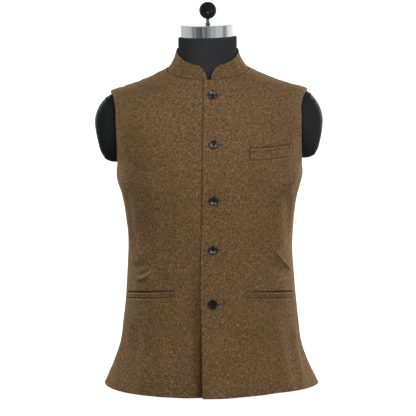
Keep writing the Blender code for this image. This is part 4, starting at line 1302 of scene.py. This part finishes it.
def weave_measure(base, side):
    """Metres along weft and warp: lengths round each row from the centre of the body,
    and lengths up each column from the hem."""
    across, up = running_lengths(base)
    if side:
        across = side * across + base[:, :1, 0]
    else:
        across = across - across[:, [across.shape[1] // 2]] + 1.0
    return np.stack([across, up + base[:1, :, 2]], axis=-1)


def seam_pucker(base, measure, rows, side):
    """Along each sewn edge, but not the armhole, the cloth dips and gathers a little:
    -(0.3 + 0.2 sin(2 pi up / 13 mm)) mm * exp(-(away / 5 mm)^2). A front is sewn at its
    last column, and the back at its first one too."""
    across, _ = running_lengths(base)
    number = np.arange(len(base))[:, None]
    underarm = rows[0]
    shoulder_tip = rows[0] + rows[1]
    hole = ramp(number, underarm - 1, underarm + 4)
    hole = hole * (1 - ramp(number, shoulder_tip - 4, shoulder_tip + 1))
    gather = PUCKER_DIP + PUCKER_GATHER * np.sin(math.tau * measure[..., 1] / PUCKER_EVERY)
    near = bell(across[:, -1:] - across, PUCKER_REACH)
    if not side:
        near = near + bell(across, PUCKER_REACH)
    return -gather * near * (1 - hole)


def make_panel(name, surface, grid, rows, side):
    """A panel: its surface moved out by creases, waves, pockets and pulls, and then
    given its wall. The moves fade out within 14 mm of the neck seam. side is 1 for the
    left front, -1 for the right one and 0 for the back."""
    turns, heights = grid
    base = surface(turns, heights)
    measure = weave_measure(base, side)
    rise = drape(turns, heights)
    # shade is painted shade for the seam attribute: at the welts and, on the lower front, the
    # lap.
    shade = 0.0 * rise
    if side:
        pockets, shade = pocket_rise(turns, heights, side)
        rise = rise + pockets + button_pull(cloth_place(turns, heights))
    if side < 0:
        hollow, hollow_shade = lap_hollow(turns, heights)
        rise = rise + hollow
        shade = np.maximum(shade, hollow_shade)
    _, up = running_lengths(base)
    rise = rise * ramp(up[-1:] - up, 0.0, NECK_FADE) + seam_pucker(base, measure, rows, side)
    outer = base + surface_normal(surface, turns, heights) * rise[..., None]
    return cloth_shell(name, outer, WALL, ROLL, TWEED, measure, shade)


def make_panels():
    """The upper front on the wearer's left, the lower one under its edge, and the back
    from side seam to side seam."""
    over = front_grid(1, lap_edge)
    under = front_grid(-1, lambda height: UNDERLAP_EDGE + 0 * height)
    return (
        make_panel("front_left_cloth", OVER, over, FRONT_ROWS, 1),
        make_panel("front_right_cloth", UNDER, under, FRONT_ROWS, -1),
        make_panel("back_cloth", BACK, back_grid(), BACK_ROWS, 0),
    )


def collar_top_point(turn):
    """The upper edge of the collar's outer face, an oval that climbs by cosine."""
    height = by_cosine(turn, *COLLAR_TOP)
    fore = np.cos(turn)
    depth = np.where(fore > 0, COLLAR_FRONT_REACH, COLLAR_BACK_REACH)
    centre = section_at(height).centre
    return np.stack([centre + COLLAR_HALF_WIDTH * np.sin(turn), -depth * fore, height], axis=-1)


def neck_foot(turn):
    """The panels' neck edge: the surface of whichever panel lies at this turn."""
    height = neck_height(turn)
    whole = math.tau
    surfaces = (
        (OVER, turn <= SHOULDER_TURN, turn),
        (BACK, (turn > SHOULDER_TURN) & (turn < whole - SHOULDER_TURN), turn),
        (UNDER, turn >= whole - SHOULDER_TURN, turn - whole),
    )
    foot = np.zeros((len(turn), 3))
    normal = np.zeros((len(turn), 3))
    for surface, here, own_turn in surfaces:
        foot[here] = surface(own_turn[here], height[here])
        normal[here] = surface_normal(surface, own_turn[here], height[here])
    return foot, normal


COLLAR_EASE = 9
COLLAR_EASE_INSET = 12
COLLAR_ENDS = (Finer(0.0, 0.030, 6.0), Finer(1.0, 0.030, 6.0))
STRIP_EDGES = (Finer(0.0, 0.05, 4.0), Finer(1.0, 0.05, 4.0))
COLLAR_CROWN = 0.0007
COLLAR_RIPPLE = 0.0004
COLLAR_RIPPLES = 23.0
COLLAR_ROLL = 0.0013


def make_collar():
    """The stand collar: a band that leans in from the neck seam to its top edge,
    drawn in at the waist by a sine, its front corners rounded by a power curve."""
    start = float(turn_across(np.array(COLLAR_LEFT_END), np.array(NECK_FRONT_HEIGHT)))
    end = float(turn_across(np.array(COLLAR_RIGHT_END), np.array(NECK_FRONT_HEIGHT)))
    around = crowded(COLLAR_COLUMNS, *COLLAR_ENDS)
    turn = start + (end + math.tau - start) * around
    foot, normal = neck_foot(turn)
    smooth = np.ones(COLLAR_EASE) / COLLAR_EASE
    padded_foot = np.pad(foot, ((COLLAR_EASE // 2,) * 2, (0, 0)), mode="edge")
    eased = np.stack([np.convolve(axis, smooth, "valid") for axis in padded_foot.T], -1)
    inner = slice(COLLAR_EASE_INSET, -COLLAR_EASE_INSET)
    foot[inner] = eased[inner]

    from_end = np.minimum(turn - turn[0], turn[-1] - turn) * COLLAR_FRONT_REACH
    into_corner = np.clip(1 - from_end / COLLAR_CORNER, 0.0, 1.0)
    corner = (1 - into_corner**2) ** COLLAR_CORNER_POWER
    share = COLLAR_END_SHARE + (1 - COLLAR_END_SHARE) * corner
    rise = collar_top_point(turn) - foot
    length = np.linalg.norm(rise, axis=-1, keepdims=True)
    up = rise / length
    outward = unit(np.cross(np.gradient(foot, axis=0), up))

    rows = crowded(COLLAR_ROWS, *STRIP_EDGES)[:, None, None]
    height = COLLAR_GAP + (length * share[:, None] - COLLAR_GAP) * rows
    arch = np.sin(math.pi * rows)
    waist = np.sin(turn)[:, None] ** 2 * arch
    crown = COLLAR_CROWN * np.sin(math.pi * np.clip(rows, 0, 1)) ** 0.6
    ripple = COLLAR_RIPPLE * np.sin(turn * COLLAR_RIPPLES)[:, None] * arch
    outer = foot + up * height + outward * (crown + ripple - COLLAR_HOLLOW * waist)
    inside = outer - normal * WALL * (1 - rows) - outward * (COLLAR_WALL * rows + crown * 0.6)
    middle = (outer + inside) / 2
    half = (outer - inside) / 2 * rolled(edge_distance(outer), COLLAR_ROLL)[..., None]
    run = path_length(foot)[None, :] + 2.0
    uv = np.stack(np.broadcast_arrays(run, height[..., 0]), axis=-1)
    # Painted shade: a dark line along the collar's foot seam, weaker at the sides, and an even
    # painted shade over the whole collar.
    seam_shade = COLLAR_SEAM_SHADE * (0.45 + 0.55 * ramp(np.cos(turn), 0.2, 0.9))
    shade = np.maximum(COLLAR_SHADE, seam_shade * bell(height[..., 0], 0.0011))
    return shell("collar_cloth", middle, half, TWEED, uv, shade)


def surface_with_drape(surface, turn, height):
    """Where the cloth really lies, and its normal, at this turn and height."""

    def draped(at_turn, at_height):
        """The surface moved out along its normal by the drape and the pulls."""
        normal = surface_normal(surface, at_turn, at_height)
        rise = drape(at_turn, at_height)
        if surface is OVER:
            rise = rise + button_pull(cloth_place(at_turn, at_height))
        return surface(at_turn, at_height) + normal * rise[..., None]

    return draped(turn, height), surface_normal(draped, turn, height)


WELT_STEPS = (110, 26)
WELT_ENDS = (Finer(0.0, 0.01, 8.0), Finer(1.0, 0.01, 8.0))
WELT_FOLD = 0.0014
WELT_FOLD_DOWN = 0.0030
WELT_FOLD_REACH = 0.0019
WELT_FOOT_SHADE = 0.25
WELT_FOOT_REACH = 0.0012
WELT_ROLL = 0.0008


def make_welt(welt):
    """A pocket welt: a strip that follows the front it lies on, fuller below its
    folded top edge: rise = gap + thickness + 1.4 mm * exp(-((down - 3 mm) / 1.9 mm)^2)."""
    surface = OVER if welt.side > 0 else UNDER
    along = crowded(WELT_STEPS[0], *WELT_ENDS)[None, :]
    down = crowded(WELT_STEPS[1], *STRIP_EDGES)[:, None]
    heights = welt_top(welt, along) - welt.depth * down
    (inner_turn, outer_turn), _ = welt_ends(welt)
    turns = inner_turn + (outer_turn - inner_turn) * along + 0 * down
    points, normal = surface_with_drape(surface, turns, heights)
    fold = WELT_FOLD * bell(down * welt.depth - WELT_FOLD_DOWN, WELT_FOLD_REACH)
    out = WELT_GAP + welt.thickness + fold + 0 * along
    outer = points + normal * out[..., None]
    # Painted shadow along the strip's foot edge.
    shade = WELT_FOOT_SHADE * bell((1 - down) * welt.depth, WELT_FOOT_REACH) + 0 * along
    uv = cloth_place(turns, heights)
    return cloth_shell(f"{welt.name}_cloth", outer, welt.thickness, WELT_ROLL, TWEED, uv, shade)

# ---- buttons
BUTTON_TWISTS = (17, -24, 8, 31, -12)
BUTTON_STEPS = 88
BOWL_POWER = 2.4
BOWL_LEAST_HEIGHT = 0.0012
BOWL_REACH = 0.0050
HOLE_DEPTH = 0.0011
HOLE_SLOPE = (0.00050, 0.00090)
SHADE_AND_POLISH_CENTRE = 0.0036
SHADE_AND_POLISH_RIM = (0.0064, 0.0080)
STRANDS = (-0.00034, 0.0, 0.00034)
STRAND_RADIUS = 0.00021
STRAND_FOOT = 0.00100
STRAND_RISE = 0.00125
STRAND_OVERRUN = 1.08
LOOP_STEPS = 240
LOOP_HALF_WIDTH = 0.0010
LOOP_LIFT = 0.00012
STITCH_RADIUS = 0.00055
STITCH_SWELLING = 0.22
STITCH_LENGTH = 0.00095


def button_profile():
    """Half the button's section: flat foot, rounded rim, and a bowl whose height is
    dish + (rim's inner edge - dish) * (radius / bowl radius)^2.4."""
    centre = (BUTTON_RADIUS - BUTTON_RIM, BUTTON_THICKNESS - BUTTON_RIM)
    profile = [(0.0, 0.0), (0.0030, 0.0), (0.0060, 0.0), (0.0076, 0.0001)]
    profile += arc(centre, BUTTON_RIM, -60, 122, 16)
    bowl, edge = profile[-1]
    radius = np.linspace(bowl, 0.0003, 40)[1:]
    height = BUTTON_DISH + (edge - BUTTON_DISH) * (radius / bowl) ** BOWL_POWER
    profile += list(zip(radius, height))
    profile += [(0.0, BUTTON_DISH)]
    return profile


def make_button(number, height, across_body):
    """A dished button with four holes and its thread: the bowl sinks by 1.1 mm * (1 -
    smooth step from 0.5 to 0.9 mm away from each hole's centre)."""
    level = np.array(height)
    turn = turn_across(np.array(across_body), level)
    normal = Vector(surface_normal(OVER, turn, level))
    seat = Vector(OVER(turn, level)) + normal * BUTTON_LIFT
    upright = normal.to_track_quat("Z", "Y").to_matrix().to_4x4()
    twist = Matrix.Rotation(math.radians(BUTTON_TWISTS[number - 1]), 4, "Z")
    place = Matrix.Translation(seat) @ upright @ twist
    name = f"button_{number}_disc"
    made = turned(name, button_profile(), BUTTON_FINISH, Matrix.Identity(4), BUTTON_STEPS)
    mesh = made.data
    points = np.empty(len(mesh.vertices) * 3, dtype=np.float32)
    mesh.vertices.foreach_get("co", points)
    points = points.reshape(-1, 3)
    radius = np.hypot(points[:, 0], points[:, 1])
    dished = (points[:, 2] > BOWL_LEAST_HEIGHT) & (radius < BOWL_REACH)
    holes = (-HOLE_PLACE, HOLE_PLACE)
    for across in holes:
        for along in holes:
            away = np.hypot(points[:, 0] - across, points[:, 1] - along)
            points[:, 2] -= np.where(dished, HOLE_DEPTH * (1 - ramp(away, *HOLE_SLOPE)), 0)
    mesh.vertices.foreach_set("co", points.ravel())
    mesh.update()
    # The seam attribute here is painted shade at the bowl's centre and the rim, which are also
    # made more polished.
    painted_shade_and_polish = np.clip(bell(radius, SHADE_AND_POLISH_CENTRE) + ramp(radius, *SHADE_AND_POLISH_RIM), 0.0, 1.0)
    mesh.attributes.new("seam", "FLOAT", "POINT").data.foreach_set("value", painted_shade_and_polish)
    mesh.transform(place)

    blocks = []
    part = np.linspace(0, 1, 13)
    run = HOLE_PLACE * (2 * part - 1) * STRAND_OVERRUN
    level = STRAND_FOOT + STRAND_RISE * np.sin(math.pi * part) ** 0.5
    for side in holes:
        for strand in STRANDS:
            path = np.stack([side + strand + 0 * part, run, level], axis=-1)
            blocks.append(tube_block(path, STRAND_RADIUS, np.array([1.0, 0.0, 0.0]), 6))
    thread = joined(f"button_{number}_thread", blocks, BUTTON_THREAD)
    thread.data.transform(place)
    return made, thread


def make_buttonhole(number, height, across_body):
    """A worked buttonhole: stitches wound round a long loop on the cloth, the loop
    being two straight runs and two half circles, and its tube swelling with every
    stitch: r = 0.55 mm * (1 + 0.22 sin(2 pi run / 0.95 mm))."""
    angle = math.tau * np.linspace(0, 1, LOOP_STEPS + 1)[:-1]
    half_length = BUTTONHOLE_LENGTH / 2
    across = half_length * np.sign(np.cos(angle)) * np.abs(np.cos(angle)) ** 0.35
    up = LOOP_HALF_WIDTH * np.sign(np.sin(angle)) * np.abs(np.sin(angle)) ** 0.6
    turns = turn_across(across_body + BUTTONHOLE_STARTS + half_length + across, height + up)
    points, normal = surface_with_drape(OVER, turns, height + up)
    path = points + normal * LOOP_LIFT
    swelling = STITCH_SWELLING * np.sin(math.tau * path_length(path) / STITCH_LENGTH)
    tube = tube_block(path, STITCH_RADIUS * (1 + swelling), normal.mean(0), 8, closed=True)
    return joined(f"buttonhole_{number}", [tube], THREAD)

# ---- the dress form
def form_surface(turn, height):
    """The body surface moved in by its ease along the normal, and low down the
    section's own smaller oval."""
    section = section_at(height)
    sideways = np.sin(turn) ** 2
    ease = section.ease_front * (1 - sideways) + section.ease_side * sideways
    normal = surface_normal(body_point, turn, height)
    eased = body_point(turn, height) - normal * ease[..., None]
    smaller = section._replace(
        half_width=section.half_width - section.ease_side,
        front=section.front - section.ease_front,
        back=section.back - section.ease_front,
    )
    own_oval = oval_point(turn, height, smaller)
    upper = ramp(height, *FORM_OWN_OVAL)[..., None]
    return own_oval * (1 - upper) + eased * upper


# The neck's rolled top, as the share of the way out and how far below the top each ring
# lies, and the foot: how far in its sole lies and the shares of the rings under it.
NECK_ROLLS = (
    (1.0, 0.0100),
    (1.0, 0.0050),
    (1.0, 0.0016),
    (0.993, 0.0004),
    (0.975, 0.0),
    (0.6, 0.0),
)
SOLE_INSET = 0.07
SOLE_SHARES = (0.50, 0.93)
FORM_TURNS = 160


def make_form():
    """The torso and neck: rings of the form's surface, closed flat underneath and
    rolled over at the top of the neck."""
    levels = np.concatenate(
        [
            np.linspace(FOOT_ROLL, 0.440, 60),
            np.linspace(0.445, 0.600, 44)[:-1],
            np.linspace(0.600, 0.676, 64),
            np.linspace(0.678, 0.702, 12),
        ]
    )
    turns = np.linspace(0, math.tau, FORM_TURNS, endpoint=False)
    rings = form_surface(*np.meshgrid(turns, levels))
    low = [rings[0] * [share, share, 0.0] for share in SOLE_SHARES]
    for drop in np.radians(np.linspace(0, 90, 9)[:-1]):
        share = 1 - SOLE_INSET * (1 - math.sin(drop))
        ring = rings[0] * [share, share, 1.0]
        ring[:, 2] = rings[0][:, 2] * (1 - math.cos(drop))
        low.append(ring)
    top = rings[-1].copy()
    top[:, 2] = NECK_TOP_HEIGHT + (top[:, 0] - NECK_CENTRE[0]) * math.tan(NECK_TILT)
    centre = top.mean(0)
    rolls = []
    for share, sink in NECK_ROLLS:
        ring = centre + (top - centre) * [share, share, 1.0]
        ring[:, 2] = top[:, 2] * share + centre[2] * (1 - share) - sink
        rolls.append(ring)
    rings = np.concatenate([np.stack(low), rings, np.stack(rolls)])
    return closed_round("form_torso", rings, NECK_JERSEY, ((0.0, 0.0, 0.0), centre))


def side_face(side, lengthways, height):
    """How far across the form's side lies, by walking its surface to that depth."""
    turn = np.arctan2(section_at(height).half_width + 0 * lengthways, -lengthways)
    for _ in range(6):
        point = form_surface(side * turn, height)
        turn = np.arctan2(np.abs(point[..., 0]), -lengthways)
    return np.abs(form_surface(side * turn, height)[..., 0])


ARM_CAP_SPOKES = 120
ARM_CAP_RINGS = 49


def make_arm_cap(name, side):
    """A padded cap: reach * (1 - ring^fullness)^(1 / roundness) over the form's side,
    both powers changing round the rim, so that it is fuller below than above, with a
    corded seam, a bell across the rings, just inside the rim."""
    centre = ARM_CAP_CENTRES[side]
    spokes = np.linspace(0, math.tau, ARM_CAP_SPOKES, endpoint=False)[None, :]
    rings = np.sin(np.linspace(0, math.pi / 2, ARM_CAP_RINGS))[1:, None]
    lengthways = ARM_CAP_HALF_DEPTH * rings * np.cos(spokes)
    heights = centre + ARM_CAP_HALF_HEIGHT * rings * np.sin(spokes)
    above = np.clip(np.sin(spokes), 0, 1)
    below = np.clip(-np.sin(spokes), 0, 1)
    full, full_above, full_below = ARM_CAP_FULLNESS
    fullness = full + full_above * above + full_below * below**2
    even, even_above, even_below = ARM_CAP_ROUNDNESS
    roundness = even + even_above * above + even_below * below
    bulge = ARM_CAP_REACH * np.clip(1 - rings**fullness, 0, 1) ** (1 / roundness)
    bulge = bulge + ARM_CAP_SEAM_RISE * bell(rings - ARM_CAP_SEAM, ARM_CAP_SEAM_REACH)
    root = side_face(side, lengthways, heights) + ARM_CAP_GAP
    middle = float(side_face(side, np.zeros(1), np.full(1, centre))[0]) + ARM_CAP_GAP
    outer = np.stack([side * (root + ARM_CAP_RIM + bulge), lengthways, heights], axis=-1)
    inner = np.stack([side * root, lengthways, heights], axis=-1)[::-1]
    tip = (side * (middle + ARM_CAP_RIM + ARM_CAP_REACH), 0.0, centre)
    hub = (side * middle, 0.0, centre)
    skin = np.concatenate([outer, inner])
    if side > 0:
        skin = skin[:, ::-1]
    return closed_round(name, skin, CAP_JERSEY, (tip, hub))


HARDWARE_GAP = 0.0003
NECK_CAP_FOOT_ROLL = 0.001
NECK_CAP_CROWN = 0.0006
STEM_GAP = 0.0012
STEM_ROLL = 0.0006
STEM_FOOT = 0.0049
STEM_NECK = 0.0045
BALL_FOOT = 0.97


def make_neck_hardware():
    """The chrome cap on the neck, its stem and the ball on top."""
    tilt = Matrix.Rotation(-NECK_TILT, 4, "Y")
    base = Vector((*NECK_CENTRE, NECK_TOP_HEIGHT))
    radius = NECK_CAP_RADIUS
    top = NECK_CAP_HEIGHT
    roll = NECK_CAP_FOOT_ROLL
    corner = NECK_CAP_CORNER
    cap = [(0.0, 0.0)] + straight((0.0, 0.0), (radius - roll, 0.0), 6)
    cap += arc((radius - roll, roll), roll, -60, 0, 3)
    cap += straight((radius, roll), (radius, top - corner), 8)
    cap += arc((radius - corner, top - corner), corner, 4, 90, 10)
    cap += straight((radius - corner, top), (0.0095, top + NECK_CAP_CROWN), 10)
    cap += [(0.0, top + NECK_CAP_CROWN)]
    seat = Matrix.Translation(base + Vector((0, 0, HARDWARE_GAP))) @ tilt
    neck_cap = turned("neck_cap_chrome", cap, CHROME, seat, 160)

    seat = Matrix.Translation(base) @ tilt @ Vector((0, 0, top + STEM_GAP))
    seat.x += FINIAL_ACROSS
    stem = [(0.0, 0.0)] + straight((0.0, 0.0), (STEM_FOOT, 0.0), 3)
    stem += arc((0.0045, 0.0012), STEM_ROLL, -70, 80, 6)
    stem += straight(stem[-1], (STEM_RADIUS, STEM_NECK), 4)
    stem += straight((STEM_RADIUS, STEM_NECK), (STEM_RADIUS, STEM_HEIGHT - 0.001), 4)
    stem += arc((STEM_RADIUS - STEM_ROLL, STEM_HEIGHT - STEM_ROLL), STEM_ROLL, 0, 90, 4)
    stem += [(0.0, STEM_HEIGHT)]
    finial_stem = turned("finial_stem_steel", stem, STEEL, Matrix.Translation(seat), 64)

    rise = STEM_HEIGHT + HARDWARE_GAP + BALL_RADIUS * BALL_FOOT
    place = Matrix.Translation(seat + Vector((0, 0, rise)))
    start = -math.degrees(math.asin(BALL_FOOT))
    ball = [(0.0, -BALL_RADIUS * BALL_FOOT)] + arc((0.0, 0.0), BALL_RADIUS, start, 90, 60)
    ball[-1] = (0.0, BALL_RADIUS)
    finial_ball = turned("finial_ball_gloss", ball, BLACK_GLOSS, place, 112)
    return neck_cap, finial_stem, finial_ball


# ---- put together
# The cut of what shows of each cloth piece, before it was sewn and dressed on the
# form: width and length of the sheet it is cut from, and its own area.
Cut = namedtuple("Cut", "width length area held rests_on")
CUTS = {
    "front_left_cloth": Cut(0.3140, 0.8160, 0.1736, "draped", ("form_torso",)),
    "front_right_cloth": Cut(0.3190, 0.8070, 0.1807, "draped", ("form_torso",)),
    "back_cloth": Cut(0.5820, 0.8330, 0.3295, "draped", ("form_torso",)),
    "collar_cloth": Cut(0.4800, 0.0400, 0.0148, "draped", ("form_torso", "back_cloth")),
    "welt_chest_cloth": Cut(0.0870, 0.0250, 0.0021, "laid", ("front_left_cloth",)),
    "welt_left_cloth": Cut(0.1000, 0.0135, 0.0013, "laid", ("front_left_cloth",)),
    "welt_right_cloth": Cut(0.0990, 0.0140, 0.0013, "laid", ("front_right_cloth",)),
}


def settle(piece, slot, *nodes):
    """Attach a finished piece to the root body and hide the solids it stands for. slot is not
    used.
    """
    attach(piece, "root")
    if nodes:
        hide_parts(*nodes)
    return piece


def declare_cut(piece):
    """Read a piece's cut from the table; nothing is declared with it."""
    cut = CUTS[piece.name]
    list(cut.rests_on)


cloth = [*make_panels(), make_collar()]
cloth += [make_welt(welt) for welt in WELTS]
for piece in cloth:
    settle(piece, "tweed", piece.name.removesuffix("_cloth"))
trimmings = []
for number, seat in enumerate(zip(BUTTON_HEIGHTS, BUTTON_ACROSS), start=1):
    disc, thread = make_button(number, *seat)
    trimmings.append(settle(disc, "button_horn", f"button_{number}"))
    trimmings.append(settle(thread, "button_horn"))
    trimmings.append(settle(make_buttonhole(number, *seat), "button_horn"))
form = settle(make_form(), "form_jersey", "form_body")
arm_caps = [
    settle(make_arm_cap("arm_cap_left_pad", 1), "form_jersey", "arm_cap_left"),
    settle(make_arm_cap("arm_cap_right_pad", -1), "form_jersey", "arm_cap_right"),
]
for piece in cloth:
    declare_cut(piece)
neck_cap, finial_stem, finial_ball = make_neck_hardware()
settle(neck_cap, "chrome", "neck_cap")
settle(finial_stem, "chrome", "finial_stem")
settle(finial_ball, "black_gloss", "finial_ball")


# ---- the studio
def lit_group(name, pieces):
    """A collection of the pieces that a lamp is flagged to reach."""
    group = bpy.data.collections.new(name)
    for piece in pieces:
        group.objects.link(piece)
    return group


# The lowest button's disc takes no light from the front.
lit_trimmings = [piece for piece in trimmings if piece.name != "button_5_disc"]
LIT = {
    "cloth": lit_group("lit_cloth", cloth),
    "caps": lit_group("lit_arm_caps", arm_caps),
    "front": lit_group("lit_from_the_front", [*cloth, *arm_caps, *lit_trimmings, form]),
    "ball": lit_group("lit_by_the_panes", [finial_ball]),
}


def add_area(name, place, target, size, power, colour, lights):
    """A soft rectangular light that faces its target and reaches one lit group."""
    light = bpy.data.lights.new(name, "AREA")
    light.shape = "RECTANGLE"
    light.size, light.size_y = size
    light.energy = power
    light.color = colour
    lamp = bpy.data.objects.new(name, light)
    lamp.location = place
    lamp.rotation_euler = (Vector(target) - Vector(place)).to_track_quat("-Z", "Y").to_euler()
    lamp.light_linking.receiver_collection = LIT[lights]
    bpy.context.scene.collection.objects.link(lamp)


FLOOR_REACH = 60.0
FLOOR_SINK = 0.0005


def make_floor():
    """A wide pale floor, a plain sheet of four corners."""
    material, _, shader = new_finish("pale_floor", (0.90, 0.90, 0.90), 0.9)
    shader.inputs["Emission Color"].default_value = (1.0, 1.0, 1.0, 1.0)
    shader.inputs["Emission Strength"].default_value = 1.0
    corners = np.array([(-1, -1, 0), (1, -1, 0), (1, 1, 0), (-1, 1, 0)]) * FLOOR_REACH
    floor = make_mesh("floor", corners, [np.array([[0, 1, 2, 3]])], material)
    floor.location.z = -FLOOR_SINK
    floor.visible_diffuse = False
    floor.visible_glossy = False
    return floor


# The studio's screens, by the bearing from the camera's side towards +X in degrees, and
# how bright each is. Narrow dark gaps stand between them.
SCREENS = (
    (-180, 1.60), (-158, 1.00), (-80, 0.78), (-70, 0.60), (-64, 0.28),
    (-56, 0.42), (-50, 0.40), (-44, 0.15), (-36, 0.24), (-28, 0.13),
    (-24, 0.15), (-17, 0.42), (-10, 0.28), (-3, 0.20), (5, 0.46),
    (9, 0.36), (18, 0.68), (30, 0.62), (40, 0.85), (66, 0.88),
    (75, 0.36), (88, 0.52), (100, 1.20), (124, 1.40), (146, 1.75),
    (180, 1.60),
)
SKY_BRIGHTNESS = 0.60
SKY_BAND = (0.22, 0.50)
GROUND_BRIGHTNESS = 0.30
GROUND_TINT = (1.00, 0.88, 0.70)
STUDIO_STRENGTH = 0.62


def make_world():
    """A white studio: screens all round between a third of the way down and a third of
    the way up, an even sky above them and a dimmer, warmer ground below. The camera
    itself sees plain white."""
    world = bpy.data.worlds.new("studio")
    bpy.context.scene.world = world
    world.use_nodes = True
    tree = world.node_tree
    background = tree.nodes["Background"].inputs
    way = add_node(tree, "TexCoord").outputs["Generated"]
    parts = add_node(tree, "SeparateXYZ", Vector=way).outputs
    towards = maths(tree, "MULTIPLY", parts[1], -1.0)
    bearing = maths(tree, "ARCTAN2", parts[0], towards)
    bearing = maths(tree, "ADD", maths(tree, "DIVIDE", bearing, math.tau), 0.5)
    stops = [((degrees + 180) / 360, (brightness,) * 3) for degrees, brightness in SCREENS]
    light = ramp_node(tree, bearing, stops)
    start, end = SKY_BAND
    height = add_node(tree, "MapRange", Value=parts[2], From_Min=start, From_Max=end)
    sky = (SKY_BRIGHTNESS,) * 3 + (1.0,)
    light = mixed(tree, "MIX", height.outputs[0], light, sky)
    depth = add_node(tree, "MapRange", Value=parts[2], From_Min=-end, From_Max=-start)
    below = (*(GROUND_BRIGHTNESS * part for part in GROUND_TINT), 1.0)
    light = mixed(tree, "MIX", depth.outputs[0], below, light)
    seen = add_node(tree, "LightPath").outputs["Is Camera Ray"]
    wire(tree, background["Color"], mixed(tree, "MIX", seen, light, (1.0, 1.0, 1.0, 1.0)))
    strength = add_node(tree, "MapRange", Value=seen, To_Min=STUDIO_STRENGTH, To_Max=1.0)
    wire(tree, background["Strength"], strength.outputs[0])


CAMERA_DISTANCE = 4.65
CAMERA_ELEVATION = math.radians(8.3)
CAMERA_TARGET = (0.0, 0.0, 0.372)
METRES_PER_PIXEL = 0.00206
PIXELS_ACROSS = 416
PIXELS_SHIFT = -0.9
SENSOR_WIDTH = 36.0


def make_camera():
    """The camera: 4.65 m away, straight in front and 8.3 degrees above level."""
    away = Vector((0.0, -math.cos(CAMERA_ELEVATION), math.sin(CAMERA_ELEVATION)))
    data = bpy.data.cameras.new("camera")
    data.sensor_width = SENSOR_WIDTH
    data.lens = SENSOR_WIDTH * (CAMERA_DISTANCE / METRES_PER_PIXEL) / PIXELS_ACROSS
    data.shift_x = PIXELS_SHIFT / PIXELS_ACROSS
    camera = bpy.data.objects.new("camera", data)
    camera.location = Vector(CAMERA_TARGET) + away * CAMERA_DISTANCE
    camera.rotation_euler = (-away).to_track_quat("-Z", "Y").to_euler()
    bpy.context.scene.collection.objects.link(camera)
    bpy.context.scene.camera = camera

# Soft boxes: place, what they face, size, power, colour and the group they reach. The
# last two are panes that show as glints in the ball.
Lamp = namedtuple("Lamp", "name place target size power colour lights")
WHITE = (1.0, 1.0, 1.0)
PALE = (1.0, 0.97, 0.92)
LAMPS = (
    Lamp("key", (1.00, -1.75, 1.08), (0.0, 0.0, 0.45), (0.7, 0.7), 26.0, WHITE, "front"),
    Lamp("fill", (-0.90, -1.75, 1.35), (0.0, 0.0, 0.55), (1.2, 1.2), 22.0, WHITE, "front"),
    Lamp("rim_left", (-1.45, 0.85, 0.75), (0.0, 0.0, 0.50), (0.30, 0.7), 30.0, PALE, "cloth"),
    Lamp("rim_right", (1.45, 0.95, 0.75), (0.0, 0.0, 0.50), (0.30, 0.8), 44.0, PALE, "cloth"),
    Lamp("cap_side", (1.8, -1.0, 0.62), (0.2, 0.0, 0.54), (0.5, 0.5), 16.0, WHITE, "caps"),
    Lamp("cap_rim_left", (-1.0, 1.4, 0.85), (-0.2, 0.0, 0.54), (0.3, 0.6), 22.0, WHITE, "caps"),
    Lamp("cap_rim_right", (1.0, 1.4, 0.85), (0.2, 0.0, 0.54), (0.3, 0.6), 26.0, WHITE, "caps"),
    Lamp("pane_low", (0.0, -1.3, 0.23), (0.0, 0.0, 0.785), (0.42, 0.30), 6.0, WHITE, "ball"),
    Lamp("pane_right", (1.67, -1.43, 0.615), (0.0, 0.0, 0.785), (0.24, 0.40), 5.0, WHITE, "ball"),
)

make_camera()
make_world()
make_floor()
bpy.context.scene.view_settings.view_transform = "Standard"
for lamp in LAMPS:
    add_area(*lamp)
